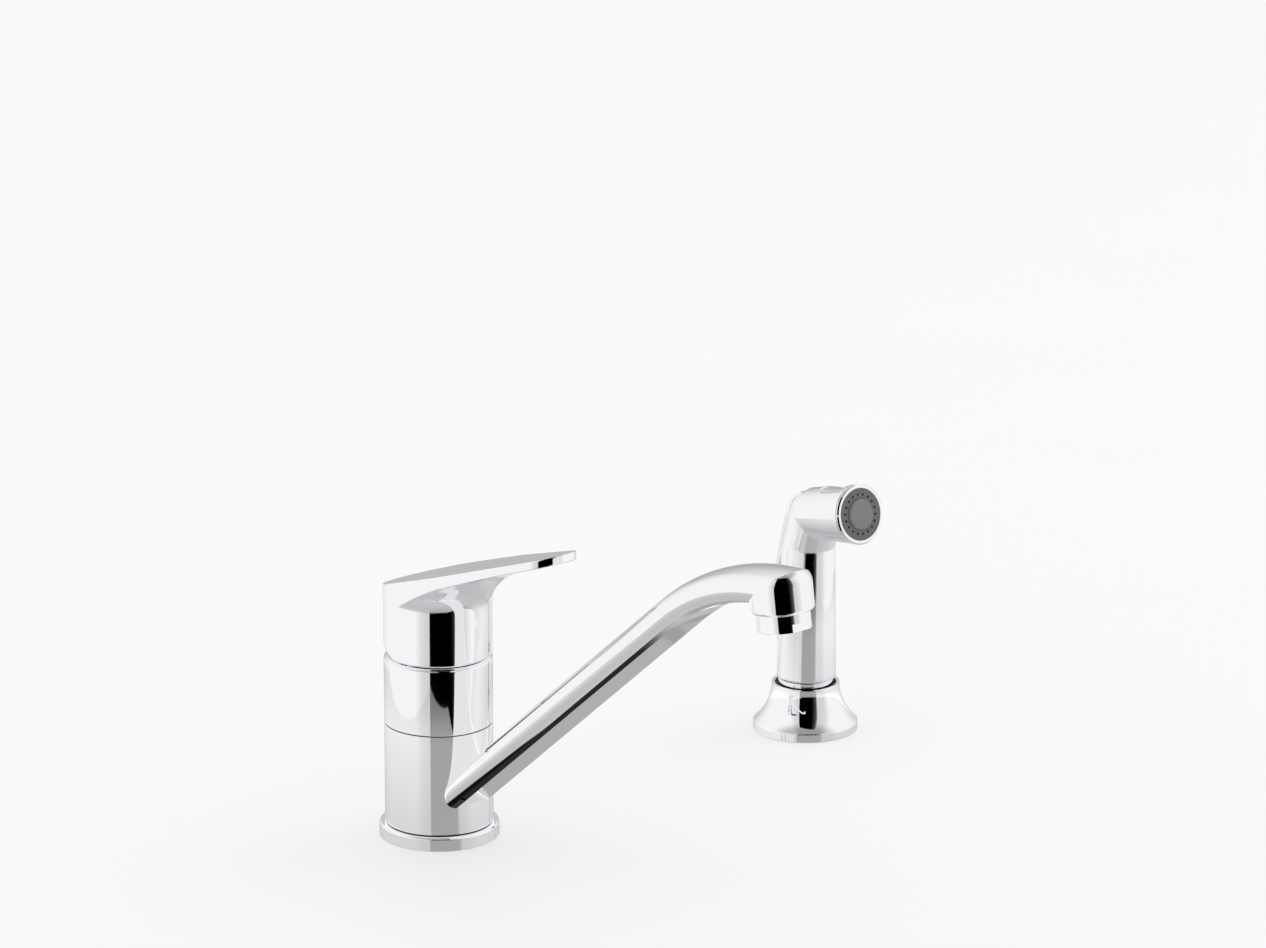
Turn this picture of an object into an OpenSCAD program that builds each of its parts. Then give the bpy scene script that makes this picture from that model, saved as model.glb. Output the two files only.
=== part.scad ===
// Single lever kitchen faucet with a low swivel spout and a side sprayer beside it.
// Origin at the centre of the faucet base, on the deck. Spout and lever point to -Y,
// the sprayer stands at +X, and +Z is up. Everything below z = 0 is under the deck.

/* [Deck] */
// Thickness of the deck that both bases clamp
deck_t = 16; // [6:1:24]
// Thickness of the rubber gaskets under the two bases
gasket_t = 1.8; // [1:0.1:2.4]

/* [Faucet base] */
// Outer diameter of the base ring
base_d = 55.3; // [54:0.1:66]
// Height of the base ring
base_h = 6.4; // [5:0.1:9]
// Length of the threaded shank below the deck
shank_len = 55; // [46:1:80]
// Outer diameter of the threaded shank
shank_d = 32.8; // [32:0.1:34]

/* [Body] */
// Outer diameter of the spout sleeve and the upper shell
body_d = 50; // [49:0.1:52]
// Height of the spout sleeve
sleeve_h = 47.3; // [45:0.1:60]
// Height of the upper shell
shell_h = 31.1; // [29:0.1:36]
// Thickness of the glide rings above and below the sleeve
glide_t = 0.5; // [0.4:0.1:1]

/* [Spout] */
// Rise of the straight part of the arm, in degrees
arm_angle = 39.7; // [35:0.1:42]
// Height at which the centre line of the arm would meet the faucet axis
arm_start_z = 8.8; // [8:0.1:12]
// Distance from the axis at which the arm starts to bend
bend_start = 168.2; // [150:0.1:180]
// Radius of the bend along the centre line
bend_r = 118; // [105:0.5:135]
// Width of the arm
arm_w = 28; // [26:0.5:32]
// Height of the crown above the widest line of the arm
arm_crown = 8.5; // [8:0.1:10]
// Radius of the rounded sides of the arm
arm_side_r = 7; // [6.2:0.1:7.5]
// Depth of the flat underside below the widest line
arm_drop = 6.6; // [6:0.1:6.9]
// Width of the flat underside
arm_flat_w = 18.4; // [16:0.1:20]
// Diameter of the water passage in the arm
arm_bore_d = 9.6; // [7:0.1:10]
// Reach of the outlet from the faucet axis
outlet_reach = 234; // [225:0.5:240]
// Lean of the outlet, so that the water falls away from the body, in degrees
outlet_tilt = 8.5; // [0:0.5:12]
// Diameter of the head over the outlet
head_d = 28.2; // [27:0.1:34]
// Height of the middle of the head's underside above the deck
head_z = 164.3; // [158:0.1:166]
// Radius of the rounded front edge of the head
head_edge_r = 8; // [4:0.5:9]

/* [Aerator] */
// Outer diameter of the aerator collar
aerator_d = 23.9; // [23:0.1:25.4]
// Height of the aerator collar below the head
aerator_h = 8; // [6.5:0.1:10]
// Diameter of the thread that holds the aerator
aerator_thread_d = 20.6; // [19:0.1:21.4]

/* [Cartridge] */
// Diameter of the ceramic cartridge
cartridge_d = 35; // [34:0.1:36]
// Tilt of the stem to each side of upright, in degrees
stem_tilt = 10; // [8:0.5:10]
// Width of the square stem
stem_w = 7.6; // [6.5:0.1:8]
// Diameter of the waterways in the column
waterway_d = 7; // [5:0.1:7.6]

/* [Handle] */
// Gap between the upper shell and the handle
handle_gap = 1.8; // [1.7:0.1:3]
// Outer diameter of the round part of the handle
handle_d = 50.2; // [49:0.1:53]
// Wall of the handle's skirt
handle_wall = 3; // [2:0.1:3.6]
// Height of the lever's flat top above the upper shell, on the faucet axis
handle_h = 39.7; // [38:0.1:46]
// Slope of the lever's flat top, in degrees
top_slope = 18.4; // [14:0.1:20]
// Reach of the cove under the front of the lever, compared with its height
cove_reach = 1.6; // [1:0.1:2]
// Thickness of the lever blade
blade_t = 4; // [3:0.1:5]
// Radius of the lever's nose in plan
nose_r = 14.7; // [11:0.1:17]
// Distance of the centre of the nose in front of the axis
nose_y = 74.4; // [65:0.1:85]
// Radius of the lever's shoulders in plan
shoulder_r = 26; // [25.5:0.1:27]
// Distance of the shoulder centre in front of the axis
shoulder_y = 28; // [22:0.5:32]

/* [Water pipes] */
// Outer diameter of the copper tubes
tube_d = 9.52; // [8:0.01:9.6]
// Wall of the copper tubes
tube_wall = 1; // [0.6:0.1:1.4]
// Length of the hot and cold tubes below the deck
tube_len = 95; // [80:1:160]
// Diameter of the threaded end of the sprayer outlet
nipple_d = 12; // [11:0.1:12.4]

/* [Spray support] */
// Distance from the faucet axis to the sprayer axis
spray_x = 228; // [210:1:260]
// Outer diameter of the bell flange
bell_d = 49.8; // [48:0.1:56]
// Height of the bell flange
bell_h = 23; // [22:0.1:26]
// Height of the vertical band at the foot of the bell
bell_band = 3.8; // [2.5:0.1:5]
// Outer diameter of the rim at the top of the bell
bell_rim_d = 32.4; // [31.6:0.1:35]
// Outer diameter of the guide tube through the deck
guide_d = 27; // [26.6:0.1:27.4]
// Length of the guide tube below the deck
guide_len = 45; // [42:1:60]

/* [Sprayer] */
// Diameter of the grip at its foot
grip_d = 28.4; // [27.6:0.1:30]
// Diameter of the grip at its neck
neck_d = 25.8; // [25:0.1:26.6]
// Lean of the grip towards the front, in degrees
grip_lean = 0.8; // [0:0.1:1.6]
// Height at which the centre line of the head crosses the sprayer axis
spray_head_z = 107.1; // [100:0.1:125]
// Upward tilt of the head, in degrees
head_tilt = 12; // [8:0.5:15]
// Length of the head from the sprayer axis to its face
spray_head_len = 38.4; // [35:0.1:46]
// Diameter of the face ring
face_d = 28.8; // [27.6:0.1:32]
// Width of the bright rim of the face ring
face_rim = 2; // [1.5:0.1:3]
// Diameter of the back of the head
head_back_d = 24.6; // [24:0.1:25.6]
// Number of holes in the spray face
nozzle_holes = 18; // [12:1:24]
// Diameter of each spray hole
nozzle_hole_d = 1.3; // [0.8:0.1:1.6]
// Diameter of the raised centre of the spray face
button_d = 14.6; // [11:0.1:15]

/* [Trigger] */
// Width of the trigger plate
trigger_w = 12; // [11:0.5:14]
// Thickness of the trigger plate
trigger_t = 2.4; // [2:0.1:2.6]
// Length of the straight part of the trigger
trigger_len = 50; // [40:0.5:54]
// Slope of the straight part of the trigger, in degrees
trigger_slope = 14; // [12:0.5:16]
// Travel of the valve plunger
valve_travel = 2.3; // [1.6:0.1:2.4]

/* [Fits] */
// Radial clearance of parts that turn or slide on each other
run_gap = 0.05; // [0.03:0.01:0.08]
// Clearance between fixed parts that fit into each other
fit_gap = 0.05; // [0.03:0.01:0.1]
// Clearance between separate moving parts
free_gap = 0.3; // [0.2:0.05:0.4]

/* [Hidden] */
$fn = 96;
eps = 0.01;
big = 400;
chrome = "silver";
brass = "darkgoldenrod";
rubber = [0.12, 0.12, 0.12];
white_plastic = "whitesmoke";

body_r = body_d / 2;
column_r = body_r - 4.2;
shank_r = shank_d / 2;
shank_wall = 2.8;
sleeve_z = base_h + glide_t + run_gap;
sleeve_top = sleeve_z + sleeve_h;
shell_z = sleeve_top + run_gap + glide_t;
body_top = shell_z + shell_h;
cartridge_z = body_top - 33.9;
pivot_z = body_top + 4.1;
bore_r = column_r + free_gap;
tube_r = tube_d / 2;
foot_r = shank_r + 5.5;
socket_z = gasket_t + 10;
tube_top = socket_z + 6;

module ring(outer, inner, h, z = 0) {
    translate([0, 0, z]) difference() {
        cylinder(r = outer, h = h);
        translate([0, 0, -eps]) cylinder(r = inner, h = h + 2 * eps);
    }
}

module o_ring(mean_r, section_r, z) {
    translate([0, 0, z]) rotate_extrude() translate([mean_r, 0]) circle(r = section_r, $fn = 32);
}

module hex_nut(across, bore, h, z) {
    translate([0, 0, z]) difference() {
        cylinder(r = across / 2 / cos(30), h = h, $fn = 6);
        translate([0, 0, -eps]) cylinder(r = bore, h = h + 2 * eps);
    }
}

// Local x points to the front, local y up and local z across, to -X.
module side_frame() {
    rotate([90, 0, -90]) children();
}

// The three water ports: hot, cold and, at the back, the mixed water.
port_ring_r = shank_r - shank_wall - tube_r - 0.4;
inlet_angle = 31;
outlet_back = 0.66 * port_ring_r;
port_places = [
    [-port_ring_r * cos(inlet_angle), -port_ring_r * sin(inlet_angle)],
    [port_ring_r * cos(inlet_angle), -port_ring_r * sin(inlet_angle)],
    [0, outlet_back]
];

module at_ports() {
    for (p = port_places) translate([p[0], p[1], 0]) children();
}

// Base and deck clamp
gasket_r = base_d / 2 - 2.6;

module base_ring() {
    color(chrome) rotate_extrude() polygon([
        [foot_r + fit_gap, gasket_t],
        [gasket_r + fit_gap, gasket_t],
        [gasket_r + fit_gap, 0],
        [base_d / 2, 0],
        [base_d / 2, base_h - 0.8],
        [base_d / 2 - 0.8, base_h],
        [foot_r + fit_gap, base_h]
    ]);
}

module deck_gasket() {
    color(rubber) ring(gasket_r, shank_r + free_gap, gasket_t);
}

clamp_gasket_t = 3;
clamp_washer_t = 2;
mounting_nut_h = 9;
clamp_r = shank_r + 7.5;
clamp_washer_z = -deck_t - clamp_gasket_t - clamp_washer_t;

module clamp_gasket() {
    color(rubber) ring(clamp_r, shank_r + fit_gap, clamp_gasket_t, -deck_t - clamp_gasket_t);
}

module clamp_washer() {
    color("lightgray") ring(clamp_r, shank_r + fit_gap, clamp_washer_t, clamp_washer_z);
}

module mounting_nut() {
    color(brass) hex_nut(2 * shank_r + 12, shank_r + fit_gap, mounting_nut_h,
        clamp_washer_z - mounting_nut_h);
}

module mounting_shank() {
    color(brass) ring(shank_r, shank_r - shank_wall, shank_len + socket_z - 2, -shank_len);
}

// Brass column with its waterways
chamber_r = cartridge_d / 2 + fit_gap;
nut_r = cartridge_d / 2 + 1.1;
housing_shoulder_z = cartridge_z + 24;
column_top = body_top - 1.5;
gallery_z = arm_start_z + column_r * tan(arm_angle);
gallery_h = 8;
gallery_depth = 2.6;
seal_section = 1.3;
seal_r = bore_r - run_gap - seal_section;
seal_offset = gallery_h / 2 + 6.5;
diverter_r = 5;
diverter_z = max(gallery_z - 8, tube_top + 0.2);
diverter_h = 20;

module valve_body() {
    color(brass) difference() {
        union() {
            translate([0, 0, gasket_t]) cylinder(r = foot_r, h = base_h - gasket_t);
            translate([0, 0, gasket_t]) cylinder(r = column_r, h = column_top - gasket_t);
        }
        translate([0, 0, -eps]) cylinder(r = shank_r + fit_gap, h = socket_z - 2 + eps);
        at_ports() {
            cylinder(r = tube_r + fit_gap, h = tube_top);
            cylinder(r = waterway_d / 2, h = cartridge_z + 1);
        }
        translate([0, outlet_back, diverter_z]) cylinder(r = diverter_r, h = big);
        translate([0, 0, cartridge_z]) cylinder(r = chamber_r, h = big);
        translate([0, 0, housing_shoulder_z]) cylinder(r = nut_r + fit_gap, h = big);
        translate([0, outlet_back, gallery_z]) rotate([-90, 0, 0])
            cylinder(r = 3, h = column_r);
        ring(column_r + 1, column_r - gallery_depth, gallery_h, gallery_z - gallery_h / 2);
        for (side = [-1, 1])
            ring(column_r + 1, seal_r - seal_section - fit_gap, 2 * seal_section + 2 * fit_gap,
                gallery_z + side * seal_offset - seal_section - fit_gap);
    }
}

module spout_seals() {
    color(rubber) for (side = [-1, 1])
        o_ring(seal_r, seal_section, gallery_z + side * seal_offset);
}

module lower_glide_ring() {
    color(rubber) ring(body_r - 0.5, column_r + fit_gap, glide_t, base_h);
}

module upper_glide_ring() {
    color(rubber) ring(body_r - 0.5, column_r + fit_gap, glide_t, shell_z - glide_t);
}

module water_tube(len, place) {
    translate([place[0], place[1], -len])
        ring(tube_r, tube_r - tube_wall, len + tube_top);
}

nipple_len = 14;
nipple_z = -shank_len - 8;

// A supply tube has a rolled bead that stops the connector pushed onto its end.
bead_z = nipple_z + 2;

module supply_tube(place) {
    water_tube(tube_len, place);
    translate([place[0], place[1], 0]) o_ring(tube_r, 0.8 * tube_wall, bead_z);
}

module hot_tube() {
    color("peru") supply_tube(port_places[0]);
}

module cold_tube() {
    color("peru") supply_tube(port_places[1]);
}

module spray_outlet() {
    color(brass) {
        water_tube(-nipple_z, port_places[2]);
        translate([0, outlet_back, nipple_z - nipple_len])
            ring(nipple_d / 2, tube_r - tube_wall, nipple_len);
    }
}

// Diverter in the column: it sends the water to the sprayer while the trigger is pressed
piston_r = 3.2;
piston_h = 4;
window_r = 1.6;
sleeve_floor = 2;

module diverter_sleeve() {
    color(white_plastic) translate([0, outlet_back, diverter_z]) difference() {
        cylinder(r = diverter_r - fit_gap, h = diverter_h);
        translate([0, 0, sleeve_floor]) cylinder(r = piston_r + run_gap, h = diverter_h);
        translate([0, 0, -eps]) cylinder(r = 1.8, h = diverter_h);
        translate([0, 0, gallery_z - diverter_z]) rotate([-90, 0, 0]) cylinder(r = window_r, h = 10);
        ring(diverter_r, diverter_r - 1, 1.8, diverter_h - 4);
    }
}

module diverter_seal() {
    color(rubber) translate([0, outlet_back, diverter_z])
        ring(diverter_r - fit_gap / 2, diverter_r - 1 + fit_gap, 1.6, diverter_h - 3.9);
}

module diverter_piston() {
    color(white_plastic) translate([0, outlet_back, diverter_z + sleeve_floor + free_gap]) {
        cylinder(r = piston_r, h = piston_h);
        cylinder(r = 1.2, h = piston_h + 7);
    }
}

// Cartridge
disc_gap = 0.1;
base_plate_h = 5;
seal_h = 1.2;
plate_z = cartridge_z + 0.4;
disc_z = plate_z + base_plate_h;
disc_h = 4;
moving_z = disc_z + disc_h + disc_gap;
carrier_h = 5.5;
carrier_z = moving_z + disc_h;
housing_r = cartridge_d / 2;
housing_wall = 2.2;
neck_r = housing_r - 3.6;
turret_r = 10.8;
turret_flange_z = carrier_z + carrier_h + free_gap;
turret_flange_h = 2;
housing_roof_z = turret_flange_z + turret_flange_h + run_gap;
neck_top = pivot_z - 3.6;
turret_top = pivot_z + 3.2;
pin_r = 1.5;
slot_w = stem_w + 0.6;
ball_z = carrier_z + 4.4;
ball_r = 2.6;
arm_len = (pivot_z - ball_z) / cos(stem_tilt);
ball_y = arm_len * sin(stem_tilt);
moving_r = housing_r - housing_wall - ball_y - 0.45;
carrier_floor = 1.1;
seal_out_r = diverter_r + 0.7;
seal_in_r = diverter_r - 0.7;

// The ports of the ceramic discs lie closer together than the ports of the column.
module at_disc_ports() {
    for (p = [[-4.4, -3.4], [4.4, -3.4], [0, 3.4]]) translate([p[0], p[1], 0]) children();
}

module cartridge_base() {
    color("dimgray") difference() {
        translate([0, 0, plate_z]) cylinder(r = housing_r - fit_gap, h = base_plate_h);
        at_ports() {
            cylinder(r = waterway_d / 2 - 0.6, h = plate_z + base_plate_h - 1.5);
            translate([0, 0, plate_z - eps]) cylinder(r = seal_out_r + fit_gap, h = seal_h);
        }
        at_disc_ports() translate([0, 0, plate_z + 2]) cylinder(r = 2.1, h = big);
    }
}

module port_seals() {
    color(rubber) at_ports()
        ring(seal_out_r, seal_in_r, plate_z - cartridge_z + seal_h - 0.1, cartridge_z);
}

module fixed_disc() {
    color("white") difference() {
        translate([0, 0, disc_z]) cylinder(r = housing_r - housing_wall - fit_gap, h = disc_h);
        at_disc_ports() translate([0, 0, disc_z - eps]) cylinder(r = 2, h = disc_h + 2 * eps);
    }
}

// The pocket under the moving disc joins the inlets to the outlet when the lever is up.
module moving_disc() {
    color("white") translate([0, ball_y, moving_z]) difference() {
        cylinder(r = moving_r, h = disc_h);
        translate([0, -1, -eps]) cylinder(r = 3.6, h = 2);
        translate([0, 2.6, -eps]) cylinder(r = 3.2, h = 2);
    }
}

module disc_carrier() {
    color("dodgerblue") translate([0, ball_y, carrier_z]) difference() {
        cylinder(r = moving_r - 0.3, h = carrier_h);
        translate([0, 0, carrier_floor]) cylinder(r = ball_r + 0.2, h = carrier_h);
    }
}

module cartridge_housing() {
    color("dimgray") difference() {
        union() {
            translate([0, 0, disc_z]) cylinder(r = housing_r, h = housing_shoulder_z - disc_z);
            translate([0, 0, disc_z]) cylinder(r = neck_r, h = neck_top - disc_z);
        }
        translate([0, 0, disc_z - eps])
            cylinder(r = housing_r - housing_wall, h = housing_roof_z - disc_z + eps);
        cylinder(r = turret_r + run_gap, h = big);
    }
}

module retaining_nut() {
    color(brass) {
        ring(nut_r, neck_r + fit_gap, column_top - housing_shoulder_z, housing_shoulder_z);
        hex_nut(2 * nut_r - 5, neck_r + fit_gap, 2.6, column_top);
    }
}

module turret() {
    color("gray") difference() {
        union() {
            translate([0, 0, turret_flange_z])
                cylinder(r = housing_r - housing_wall - free_gap, h = turret_flange_h);
            translate([0, 0, turret_flange_z])
                cylinder(r = turret_r, h = neck_top - turret_flange_z);
            translate([0, 0, turret_flange_z]) cylinder(r = 8.2, h = turret_top - turret_flange_z);
        }
        translate([-slot_w / 2, -8, turret_flange_z - eps])
            cube([slot_w, 16, neck_top - turret_flange_z - 1]);
        translate([-slot_w / 2, -5.6, neck_top - 3]) cube([slot_w, 11.2, big]);
        translate([-big / 2, 0, pivot_z]) rotate([0, 90, 0]) cylinder(r = pin_r, h = big);
    }
}

module stem_pin() {
    color("lightgray") translate([-7.6, 0, pivot_z]) rotate([0, 90, 0])
        cylinder(r = pin_r, h = 15.2);
}

module lever_stem() {
    color(brass) difference() {
        union() {
            translate([-stem_w / 2, -stem_w / 2, pivot_z - 3])
                cube([stem_w, stem_w, stem_top - pivot_z + 3]);
            translate([0, 0, pivot_z]) rotate([stem_tilt, 0, 0]) {
                translate([0, 0, -arm_len]) sphere(r = ball_r);
                translate([0, 0, -arm_len]) cylinder(r = 2, h = arm_len);
            }
        }
        translate([-big / 2, 0, pivot_z]) rotate([0, 90, 0])
            cylinder(r = pin_r + run_gap, h = big);
    }
}

// Chromed shells of the body
module upper_shell() {
    color(chrome) rotate_extrude() polygon([
        [column_r + fit_gap, shell_z],
        [body_r, shell_z],
        [body_r, body_top - 0.6],
        [body_r - 0.6, body_top],
        [column_r + fit_gap, body_top]
    ]);
}

module trim_ring() {
    color(chrome) rotate_extrude() polygon([
        [nut_r + free_gap, column_top],
        [column_r - fit_gap, column_top],
        [column_r - fit_gap, body_top],
        [body_r - 0.7, body_top],
        [body_r - 1.3, body_top + 0.8],
        [nut_r + free_gap, body_top + 0.8]
    ]);
}

// Handle: a round skirt under a flat leaf shaped lever, with a cove between them
handle_r = handle_d / 2;
handle_z = body_top + handle_gap;
top_z = body_top + handle_h;
cove_z = top_z - 12.6;
cavity_top = cove_z - 1;
boss_z = pivot_z + 7;
stem_top = cavity_top - 2;
screw_z = boss_z + 6;
screw_r = 2.5;
plug_r = 3.2;
boss_r = stem_w / 2 * sqrt(2) + 3;
relief_y = 1.5;
relief_angle = 2 * stem_tilt + 2;
cove_steps = 8;
nose_steps = 9;
edge_steps = 9;
shoulder_steps = 3;
waist_steps = 4;
rear_steps = 12;
nose_turn = acos((shoulder_r - nose_r) / (nose_y - shoulder_y));
waist_turn = acos((handle_r - shoulder_r) / shoulder_y);

function arc_point(centre, radius, turn) = [radius * sin(turn), centre + radius * cos(turn)];
function between(a, b, share) = a + (b - a) * share;
function half_leaf() = concat(
    [for (i = [0:nose_steps]) arc_point(nose_y, nose_r, nose_turn * i / nose_steps)],
    [for (i = [1:edge_steps - 1]) between(arc_point(nose_y, nose_r, nose_turn),
        arc_point(shoulder_y, shoulder_r, nose_turn), i / edge_steps)],
    [for (i = [0:shoulder_steps]) arc_point(shoulder_y, shoulder_r,
        between(nose_turn, waist_turn, i / shoulder_steps))],
    [for (i = [1:waist_steps - 1]) between(arc_point(shoulder_y, shoulder_r, waist_turn),
        arc_point(0, handle_r, waist_turn), i / waist_steps)],
    [for (i = [0:rear_steps]) arc_point(0, handle_r, between(waist_turn, 180, i / rear_steps))]
);
function leaf() = let (half = half_leaf(), n = len(half)) concat(half,
    [for (i = [n - 2:-1:1]) [-half[i][0], half[i][1]]]);
function top_at(front) = top_z + front * tan(top_slope);
// Underside of the lever: a quarter of an ellipse from the skirt to the plane below the blade
function under_at(front, out, stretch) = let (plane = top_at(front) - blade_t, rise = plane - cove_z)
    let (left = 1 - max(out, 0) / (rise * stretch))
    left <= 0 ? plane : cove_z + rise * sqrt(1 - left * left);
function cove_point(p, share) = let (reach = norm(p), r = handle_r + (reach - handle_r) * share)
    let (front = p[1] * r / reach, stretch = 1 + (cove_reach - 1) * max(0, p[1] / reach))
    [p[0] * r / reach, -front, max(under_at(front, r - handle_r, stretch), cove_z + share)];

module leaf_skin() {
    edge = leaf();
    n = len(edge);
    rows = concat(
        [[for (p = edge) [p[0] * handle_r / norm(p), -p[1] * handle_r / norm(p), handle_z]]],
        [for (s = [0:cove_steps]) [for (p = edge) cove_point(p, pow(s / cove_steps, 1.6))]],
        [[for (p = edge) [p[0], -p[1], top_at(p[1])]]]
    );
    last = len(rows) - 1;
    points = [for (row = rows) for (p = row) p];
    sides = [for (r = [0:last - 1]) for (i = [0:n - 1]) for (half = [0, 1])
        half == 0
            ? [r * n + i, (r + 1) * n + i, r * n + (i + 1) % n]
            : [r * n + (i + 1) % n, (r + 1) * n + i, (r + 1) * n + (i + 1) % n]];
    ends = [[for (i = [0:n - 1]) i], [for (i = [n - 1:-1:0]) last * n + i]];
    polyhedron(points, concat(sides, ends));
}

module handle() {
    color(chrome) difference() {
        leaf_skin();
        difference() {
            translate([0, 0, handle_z - 1])
                cylinder(r = handle_r - handle_wall, h = cavity_top - handle_z + 1);
            translate([0, 0, boss_z]) cylinder(r = boss_r, h = big);
        }
        translate([-stem_w / 2 - fit_gap, -stem_w / 2 - fit_gap, boss_z - 1])
            cube([stem_w + 2 * fit_gap, stem_w + 2 * fit_gap, stem_top - boss_z + 1 + fit_gap]);
        translate([0, 0, screw_z]) rotate([-90, 0, 0])
            cylinder(r = screw_r + fit_gap, h = boss_r + 1);
        translate([0, handle_r - handle_wall - 1, screw_z]) rotate([-90, 0, 0])
            cylinder(r = plug_r + fit_gap, h = 10);
        translate([0, relief_y, handle_z]) rotate([relief_angle, 0, 0])
            translate([-40, 0, -40]) cube([80, 60, 40]);
    }
}

module set_screw() {
    color("dimgray") translate([0, stem_w / 2 + fit_gap, screw_z]) rotate([-90, 0, 0]) difference() {
        cylinder(r = screw_r, h = 6);
        translate([0, 0, 3]) cylinder(r = 1.4, h = 4, $fn = 6);
    }
}

module screw_plug() {
    color(chrome) translate([0, handle_r - handle_wall - 0.6, screw_z]) rotate([-90, 0, 0])
        cylinder(r = plug_r, h = handle_wall + 0.3);
}

// Spout
bend_y = bend_start + bend_r * sin(arm_angle);
bend_z = arm_start_z + bend_start * tan(arm_angle) - bend_r * cos(arm_angle);
side_x = arm_w / 2 - arm_side_r;
crown_r = (side_x * side_x + arm_crown * arm_crown - arm_side_r * arm_side_r)
    / (2 * (arm_crown - arm_side_r));
lip_y = arm_drop - 1.4;
lip_x = side_x + sqrt(arm_side_r * arm_side_r - lip_y * lip_y);
lip_slope = (arm_drop - lip_y) / (lip_x - arm_flat_w / 2);
bore_lift = (arm_crown - arm_drop) / 2;
head_top = bend_z + bend_r + arm_crown + 1;
head_lip_r = 1.6;
thread_h = 6;
outlet_turn = asin((bend_y - outlet_reach) / bend_r);
head_turn = asin((outlet_reach + head_d / 2 + 2 - bend_y) / bend_r);

// Section of the arm: a crowned top on round sides, and a narrower flat underside
module arm_section() {
    wide = arm_w / 2 + 1;
    intersection() {
        union() {
            for (side = [-1, 1]) translate([side * side_x, 0]) circle(r = arm_side_r);
            translate([-side_x, -arm_side_r]) square([2 * side_x, arm_side_r + 1]);
            intersection() {
                translate([0, arm_crown - crown_r]) circle(r = crown_r, $fn = 180);
                polygon([
                    [-side_x, 0],
                    [side_x, 0],
                    [3 * side_x, 2 * (crown_r - arm_crown)],
                    [-3 * side_x, 2 * (crown_r - arm_crown)]
                ]);
            }
        }
        polygon([
            [-wide, 20],
            [-wide, -lip_y + (wide - lip_x) * lip_slope],
            [-arm_flat_w / 2, -arm_drop],
            [arm_flat_w / 2, -arm_drop],
            [wide, -lip_y + (wide - lip_x) * lip_slope],
            [wide, 20]
        ]);
    }
}

// The rise and the bend meet on the plane x = 0 of this frame, which lies at the bend's centre
module bend_frame() {
    side_frame() translate([bend_y, bend_z, 0]) rotate([0, 0, arm_angle]) children();
}

module along_bend(last_turn) {
    bend_frame() rotate([0, 0, 90]) mirror([0, 1, 0])
        rotate_extrude(angle = arm_angle + last_turn, $fn = 240)
            translate([bend_r, 0]) rotate(-90) children();
}

module along_rise() {
    bend_frame() translate([0, bend_r, 0]) rotate([0, -90, 0])
        linear_extrude(bend_start / cos(arm_angle)) children();
}

module spout_arm() {
    along_rise() arm_section();
    intersection() {
        along_bend(head_turn) arm_section();
        translate([-big / 2, -outlet_reach, 0]) cube([big, outlet_reach, big]);
    }
}

// Local z runs up the axis of the outlet, from the middle of the head's underside
module outlet_frame() {
    translate([0, -outlet_reach, head_z]) rotate([-outlet_tilt, 0, 0]) children();
}

module spout_head() {
    round_z = (head_top - 1 - head_z) / cos(outlet_tilt) - head_edge_r;
    intersection() {
        outlet_frame() rotate_extrude() difference() {
            square([head_d / 2, round_z + 2 * head_edge_r]);
            translate([head_d / 2 - head_edge_r, round_z]) difference() {
                square(2 * head_edge_r);
                circle(r = head_edge_r);
            }
            translate([head_d / 2 - head_lip_r, head_lip_r]) difference() {
                translate([0, -2 * head_lip_r]) square(2 * head_lip_r);
                circle(r = head_lip_r);
            }
        }
        along_bend(head_turn) {
            arm_section();
            translate([-arm_w / 2, -30]) square([arm_w, 30]);
        }
    }
}

module spout() {
    color(chrome) difference() {
        union() {
            translate([0, 0, sleeve_z]) cylinder(r = body_r, h = sleeve_h);
            spout_arm();
            spout_head();
        }
        translate([0, 0, -big / 2]) cylinder(r = bore_r, h = big);
        along_rise() translate([0, bore_lift]) circle(d = arm_bore_d);
        along_bend(-outlet_turn) translate([0, bore_lift]) circle(d = arm_bore_d);
        outlet_frame() {
            translate([0, 0, -1]) cylinder(d = aerator_thread_d + 2 * fit_gap, h = thread_h + 2.8);
            cylinder(d = arm_bore_d, h = bend_z + bend_r - head_z);
        }
    }
}

flat_h = 3.6;
flat_depth = 1;

module aerator_collar() {
    color(chrome) outlet_frame() difference() {
        union() {
            translate([0, 0, -aerator_h]) cylinder(d = aerator_d, h = aerator_h - 0.2);
            translate([0, 0, -aerator_h]) cylinder(d = aerator_thread_d, h = aerator_h + thread_h);
        }
        translate([0, 0, -aerator_h - eps]) cylinder(d = aerator_thread_d - 3, h = big);
        for (side = [-1, 1])
            translate([0, side * (aerator_d / 2 + 10 - flat_depth), flat_h / 2 - aerator_h - eps])
                cube([40, 20, flat_h], center = true);
    }
}

screen_d = aerator_thread_d - 3 - 2 * fit_gap;
screen_pitch = 2.6;

module aerator_screen() {
    color("gainsboro") outlet_frame() translate([0, 0, 1 - aerator_h]) difference() {
        cylinder(d = screen_d, h = 8);
        for (i = [-3:3]) for (j = [-3:3])
            if (norm([i, j]) * screen_pitch < screen_d / 2 - 1.6)
                translate([(i - 0.5) * screen_pitch, (j - 0.5) * screen_pitch, -eps])
                    cube([screen_pitch - 0.7, screen_pitch - 0.7, 9]);
    }
}

module aerator_washer() {
    color(rubber) outlet_frame()
        ring(aerator_thread_d / 2 - fit_gap, aerator_thread_d / 2 - 3.5, 1.6, thread_h + fit_gap);
}

// Bell flange and guide that hold the sprayer
bell_r = bell_d / 2;
rim_r = bell_rim_d / 2;
flare_in = bell_r - rim_r;
flare_up = bell_h - bell_band;
flare_r = (flare_in * flare_in + flare_up * flare_up) / (2 * flare_in);
guide_r = guide_d / 2;
guide_bore = guide_r - 2.6;
guide_flange_t = 3;
cup_depth = 2.6;
seat_z = bell_h - cup_depth;
bell_gasket_r = bell_r - 2.4;

module at_sprayer() {
    translate([spray_x, 0, 0]) children();
}

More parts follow.
